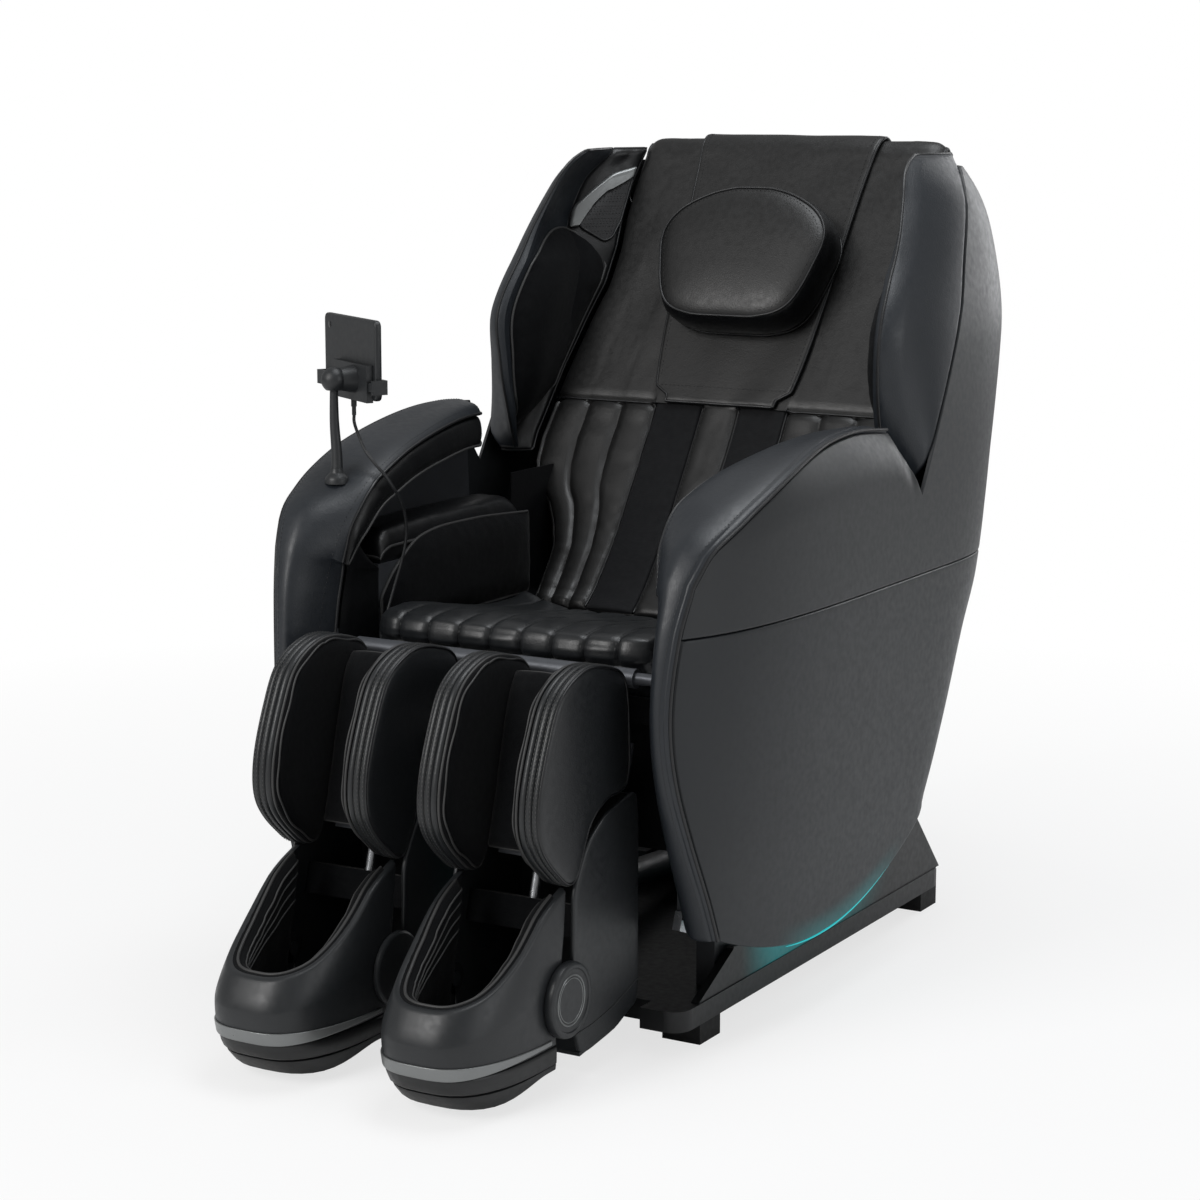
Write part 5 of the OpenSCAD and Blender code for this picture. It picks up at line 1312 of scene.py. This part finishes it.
SOLE_PATH = vectors([(-440, 350), (-438.5, 322), (-438.5, 200), (-438.5, 72), (-445, 62), (-462, 57),
                     (-499, 42.5), (-590, 31)])


def back_wall(u, v, t):
    """Rear wall and sole of a lower shell, as one bent sheet."""
    s = v * (len(SOLE_PATH) - 1)
    i = min(int(s), len(SOLE_PATH) - 2)
    a, b = SOLE_PATH[i], SOLE_PATH[i + 1]
    p, d = lerp(a, b, s - i), (b - a).normalized()
    return Vector((lerp(LEG_INNER + 2, LEG_OUT - 2, u), p[0] + d[1] * t, p[1] - d[0] * t))


lower.append(shell(back_wall, spread(8), spread(42), 6, 1))
LEG_LEAN, LEG_HINGE = radians(16.1), (-440, 505)


def in_leg(x, y, z):
    """A place in the leg rest's own axes, which lean with it."""
    return Vector((x, LEG_HINGE[0] + y * cos(LEG_LEAN) + z * sin(LEG_LEAN),
                   LEG_HINGE[1] - y * sin(LEG_LEAN) + z * cos(LEG_LEAN)))


# bulkhead that holds the slide rod
HEAD_XY = [(LEG_INNER + 5, -48), (LEG_OUT - 5, -48), (LEG_OUT - 5, -8), (LEG_INNER + 5, -8)]
lower.append(loft([[in_leg(x, y, z) for x, y in HEAD_XY] for z in (-345, -303)], 2))
make_sides("lower_leg_shell", lower, [SHELL, SOLE, FABRIC], "shell_plastic", "footrest", "lower_shell",
           smooth=35)

ANKLE_Y, ANKLE_Z = -632, 122


def turned(profile, x0, way):
    """Round part about the ankle axis from (distance, radius) steps."""
    return loft([circle(x0 + way * d, ANKLE_Y, ANKLE_Z, r, 72, "x") for d, r in profile])


PIN = [(-24, 9.5), (-0.2, 9.5), (0.2, 49)]
OUTER_DISC = PIN + [(2, 50), (9, 50), (11.6, 49), (13, 46.5), (13.4, 44), (13, 42), (11.4, 41), (11, 39),
                    (11, 3)]
INNER_DISC = PIN + [(1.5, 50), (6, 50), (8.2, 48), (9, 45), (9, 3)]
discs = [turned(OUTER_DISC, LEG_OUT, 1), turned(INNER_DISC, LEG_INNER, -1)]
for r, w in ((33, 1.1), (29, 0.7)):
    discs.append(tube(circle(LEG_OUT + 11, ANKLE_Y, ANKLE_Z, r, 90, "x"), w, step=3, closed=True, mat=1))
make("ankle_disc", discs, [SHELL, SILVER], "disc_plastic", "footrest", ["pivot_discs"], both=True, smooth=35)

# ----- foot boxes
TOE_OF = [(12, -800), (38, -822), (64, -834), (104, -840), (150, -826), (200, -800)]
RIM_OF = [(-840, 146), (-790, 163), (-720, 203), (-650, 243), (-606, 262)]
HEEL_OF = [(12, -650), (64, -648), (122, -646), (262, -608)]
FOOT_MID, SHOE_HALF = -668, LEG_HALF - 0.5


def foot_xy(a, z, t):
    """Plan of the foot box's front: a from 0 to 180 degrees round the toe, t inside the skin."""
    a = radians(a)
    side = 1 if cos(a) > 0 else -1
    return (LEG_X + (SHOE_HALF - t) * side * abs(cos(a)) ** 0.66,
            FOOT_MID + (curve(TOE_OF, z) + t - FOOT_MID) * sin(a) ** 0.86)


def foot_at(u, z_of, t):
    """u runs from one heel edge (0) round the toe (0.5) to the other (1); z_of gives the height at y."""
    if 0.1 < u < 0.9:
        a = (u - 0.1) / 0.8 * 180
        z = z_of(foot_xy(a, 105, 0)[1])
        x, y = foot_xy(a, z, t)
        return Vector((x, y, z))
    h = min(u, 1 - u) / 0.1
    z = z_of(lerp(-608, FOOT_MID, h))
    side = 1 if u < 0.5 else -1
    return Vector((LEG_X + side * (SHOE_HALF - t), lerp(lookup(HEEL_OF, z), FOOT_MID, h), z))


def shoe_at(u, v, t):
    slope = 9 * clamp((v - 0.5) / 0.5) ** 1.3
    return foot_at(u, lambda y: lerp(64, curve(RIM_OF, y), v), t + slope)


FOOT_U = [0, 0.004, 0.012, 0.025, 0.05, 0.075]
FOOT_U += [0.1 + 0.8 * t for t in (0, 0.006, 0.014, 0.026, 0.042, 0.065, 0.09, 0.12, 0.155)]
FOOT_U += spread(30, 0.1 + 0.8 * 0.185, 0.9 - 0.8 * 0.185) + [1 - u for u in reversed(FOOT_U)]
SHOE_V = ([0, 0.01, 0.03, 0.07] + spread(10, 0.12, 0.46) + [0.49, 0.5, 0.51, 0.54] + spread(8, 0.58, 0.9)
          + [0.93, 0.955, 0.975, 0.99, 1])
shoe = shell(shoe_at, FOOT_U, SHOE_V, 11, 5)
make_sides("shoe", [shoe], SHELL, "shell_plastic", "foot_box", "foot_shell", smooth=50)


def liner_at(deep):
    def at(u, v):
        uu = lerp(0.03, 0.97, u)
        t = 13 + (23 * crown(0.2 + 0.4 * v, 2.5) + 1.2 * ripple(u * 22, v * 2, 8) if deep else 0)
        return foot_at(uu, lambda y: lerp(66, curve(RIM_OF, y) + 1, v), t)
    return at


liner, liner_grid, _ = pad(liner_at(True), liner_at(False), fine(70, 0.02), fine(16, 0.12), 9, 3, 0.4,
                           pucker=1.8, reach=14)
liners = [liner, tube(liner_grid[-1], 2.3, step=5, mat=1),
          tube([p + Vector((0, 0, -1)) for p in liner_grid[-4]], 1.5, step=5, mat=1),
          *[tube(liner_grid[k], 1.3, step=5, mat=1) for k in (-7, -9, -11)]]
# padded insole
INSOLE_Y, INSOLE_IN = -720, 26
insole_line = [Vector(foot_xy(a, 70, INSOLE_IN)) for a in spread(40, 0, 180)]
insole_line += [Vector((LEG_X + c * (SHOE_HALF - INSOLE_IN), -646)) for c in (-1, 1)]
INSOLE_STEPS = [(1, 64.2), (1, 66), (0.985, 69), (0.95, 71), (0.85, 72.5), (0.6, 73), (0.3, 73)]
liners.append(loft([[Vector((LEG_X + (p[0] - LEG_X) * k, INSOLE_Y + (p[1] - INSOLE_Y) * k, z))
                     for p in insole_line] for k, z in INSOLE_STEPS]))
make("foot_liner", liners, [FABRIC, GREY_PIPING], "black_fabric", "foot_box", ["foot_liners"], both=True,
     smooth=50, fill=0.5)


def stripe_at(u, v, t):
    """Silver blade round the toe: broad at the toe, thin along the sides."""
    def height(y):
        broad = clamp((-y - 690) / 140)
        low = lerp(69.5, 62, broad ** 1.5)
        return lerp(low, lerp(76, 80, broad), v)
    return foot_at(lerp(0.075, 0.925, u), height, t - 2.2)


stripe = shell(stripe_at, fine(80, 0.02), fine(6, 0.2), 2, 1.2)
make("toe_blade", [stripe], SILVER, "silver_plastic", "foot_box", ["foot_trim"], both=True, smooth=40)


def sole_ring(z, t):
    """Outline of the sole at height z; the sole is two stepped layers with a crease between them."""
    def point(x, y):
        heel = clamp((y + 770) / 110)
        return Vector((x, y, z + 17 * heel * heel * (3 - 2 * heel) * clamp((40 - z) / 28)))
    ring = [point(LEG_X + SHOE_HALF - t, -649 + t)]
    turns = (0, 3, 8, 14, 20, 27, 35, 44, 54, 64, 74, 82)
    for a in (*turns, 90, *[180 - a for a in reversed(turns)]):
        ring.append(point(*foot_xy(a, z, t)))
    return ring + [point(LEG_X - SHOE_HALF + t, -649 + t)]


SOLE_STEPS = [(12, 16), (12, 9), (13.5, 6.5), (17, 5), (26, 4), (33, 3), (36, 3.2), (37, 5), (37.6, 6),
              (38.4, 5), (39.5, 2.4), (42, 1), (52, 0.2), (59, 0.4), (62, 1.5), (63.4, 3), (64, 6), (64, 20)]
HUB = [(0, 20), (1, 22), (9, 22), (10, 20)]
soles = [loft([sole_ring(z, t) for z, t in SOLE_STEPS])]
for x in (LEG_OUT - 22, LEG_INNER + 12):
    soles.append(loft([circle(x + d, ANKLE_Y, ANKLE_Z, r, 48, "x") for d, r in HUB]))
    soles.append(loft([[Vector((x + a, ANKLE_Y - b, z)) for a, b in ((0, 22), (10, 22), (10, 0), (0, 0))]
                       for z in (50, 122)]))
make("foot_sole", soles, SOLE, "sole_plastic", "foot_box", ["foot_soles"], both=True, smooth=35)

# ----- tablet and stalk
BALL, HOLDER_TURN = Vector((-290, -394, 867)), radians(-31.5)
STALK_FOOT = Vector((-286, -396, 722))
stalk_path = [STALK_FOOT + Vector((0, 0, 2)), Vector((-287, -394, 760)), Vector((-291, -393, 810)), BALL]


def round_about(centre, profile, n=48, mat=0):
    """Round part about the vertical through centre from (height, radius) steps."""
    return loft([circle(centre[0], centre[1], centre[2] + z, r, n) for z, r in profile], mat)


COLLAR = [(0, 16), (0.5, 17), (6, 17), (9, 15.8), (12, 13), (14.5, 10.5), (16, 9.2), (22, 8.4)]
BALL_R = 13
sphere = [(BALL_R * -cos(radians(a)), BALL_R * sin(radians(a))) for a in range(15, 166, 10)]
stalk = [tube([along(stalk_path, u) for u in spread(60, 0, 2.93)], 1, 20, 3,
              taper=lambda t: lerp(9, 5.5, t ** 0.8)),
         round_about(STALK_FOOT, COLLAR), round_about(BALL, [(-12.6, 2.5)] + sphere + [(12.6, 2.5)])]
make("stalk", stalk, HOLDER, "holder_plastic", "recliner", ["holder_stalk"], smooth=40)


def in_holder(x, y, z):
    """A place in the tablet holder's own axes, turned about the ball."""
    return BALL + Vector((x * cos(HOLDER_TURN) - y * sin(HOLDER_TURN),
                          x * sin(HOLDER_TURN) + y * cos(HOLDER_TURN), z))


TABLET_MID, TABLET = (-34, 44, 28), (180, 10, 112)


def plate_ring(y, inset):
    """Rounded rectangle of the tablet's face, inset from its outline."""
    r, sx, sz = 9, TABLET[0] / 2, TABLET[2] / 2
    ring = []
    for k in range(32):
        a = 2 * pi * k / 32
        cx, cz = (1 if cos(a) >= 0 else -1), (1 if sin(a) >= 0 else -1)
        x = cx * (sx - r) + (r - inset) * cos(a)
        z = cz * (sz - r) + (r - inset) * sin(a)
        ring.append(in_holder(TABLET_MID[0] + x, TABLET_MID[1] + y, TABLET_MID[2] + z))
    return ring


# the tablet's case as (distance from its middle, inset), from its back to the rim round the screen
CASE = [(-5, 6), (-5, 2.2), (-4.4, 1), (-3, 0.2), (0, 0), (3, 0.2), (4.4, 1), (5, 2.2), (5, 8), (4.4, 8.4),
        (4.4, 9)]
tablet = [loft([plate_ring(y, inset) for y, inset in CASE]),
          loft([plate_ring(y, i) for y, i in ((4.2, 8.9), (4.5, 8.9), (4.5, 20))], 1),
          round_about(Vector((0, 0, 0)), [(0, 4.5), (0.6, 4.4), (0.9, 3.6), (0.9, 1)], 24, 1)]
lens = [in_holder(TABLET_MID[0] - 70 + p[0], TABLET_MID[1] - 5 - p[2], TABLET_MID[2] + 40 + p[1])
        for p in tablet[2][0]]
tablet[2] = (lens, tablet[2][1], 1)
make("tablet_computer", tablet, [HOLDER, GLASS], "tablet_plastic", "tablet_head", ["tablet"], smooth=35)


# ----- stage and light
def stage_material():
    mat = bpy.data.materials.new("floor_paper")
    mat.use_nodes = True
    tree = mat.node_tree
    tree.nodes.clear()
    node = noder(tree)
    out = node("ShaderNodeOutputMaterial")
    diffuse = node("ShaderNodeBsdfDiffuse", Color=(0.86, 0.86, 0.86, 1))
    white = node("ShaderNodeEmission", Color=(1, 1, 1, 1), Strength=1.0)
    rays = node("ShaderNodeLightPath")
    place = node("ShaderNodeTexCoord")
    far = node("ShaderNodeVectorMath", [(place.outputs["Object"], 0)], operation="LENGTH")
    fade = node("ShaderNodeMapRange", [(far.outputs["Value"], "Value")], From_Min=0.9, From_Max=2.6,
                To_Min=0.72, To_Max=1.0)
    seen = node("ShaderNodeMath", [(fade.outputs["Result"], 0), (rays.outputs["Is Camera Ray"], 1)],
                operation="MULTIPLY")
    mix = node("ShaderNodeMixShader",
               [(seen.outputs[0], "Fac"), (diffuse.outputs[0], 1), (white.outputs[0], 2)])
    tree.links.new(mix.outputs[0], out.inputs["Surface"])
    return mat


FLOOR_HALF, FLOOR_Z = 14, -0.0005
floor_mesh = bpy.data.meshes.new("floor")
floor_corners = [(FLOOR_HALF * a, FLOOR_HALF * b, FLOOR_Z) for a, b in ((-1, -1), (1, -1), (1, 1), (-1, 1))]
floor_mesh.from_pydata(floor_corners, [], [(0, 1, 2, 3)])
floor_mesh.materials.append(stage_material())
add("floor", floor_mesh)

world = bpy.data.worlds.new("studio")
bpy.context.scene.world = world
world.use_nodes = True
sky = world.node_tree
back_node, sky_node = sky.nodes["Background"], noder(sky)
back_node.inputs["Color"].default_value = (1, 1, 1, 1)
level = sky_node("ShaderNodeMapRange", [(sky_node("ShaderNodeLightPath").outputs["Is Camera Ray"], "Value")],
                 To_Min=0.34, To_Max=1.0)
sky.links.new(level.outputs["Result"], back_node.inputs["Strength"])


def lamp(name, at, to, size, watts, color=(1, 1, 1)):
    data = bpy.data.lights.new(name, "AREA")
    data.shape, data.size, data.size_y = "RECTANGLE", size[0], size[1]
    data.energy, data.color = watts, color
    obj = add(name, data)
    obj.location = at
    obj.rotation_euler = (Vector(to) - Vector(at)).to_track_quat("-Z", "Y").to_euler()


lamp("key", (-1.5, -4.1, 3.0), (0, 0, 0.6), (2.2, 2.6), 130, (1, 0.99, 0.98))
lamp("rim", (0.9, 4.0, 1.9), (0.2, 0.3, 0.8), (1.6, 2.6), 42, (0.97, 0.98, 1))
lamp("side", (4.2, -0.2, 1.7), (0.3, 0, 0.6), (2.4, 2.4), 30, (0.96, 0.98, 1))
lamp("top", (0.5, 0.3, 3.6), (0, 0, 0.7), (2.2, 1.4), 50, (0.94, 0.97, 1))

bpy.context.scene.view_settings.view_transform = "Standard"
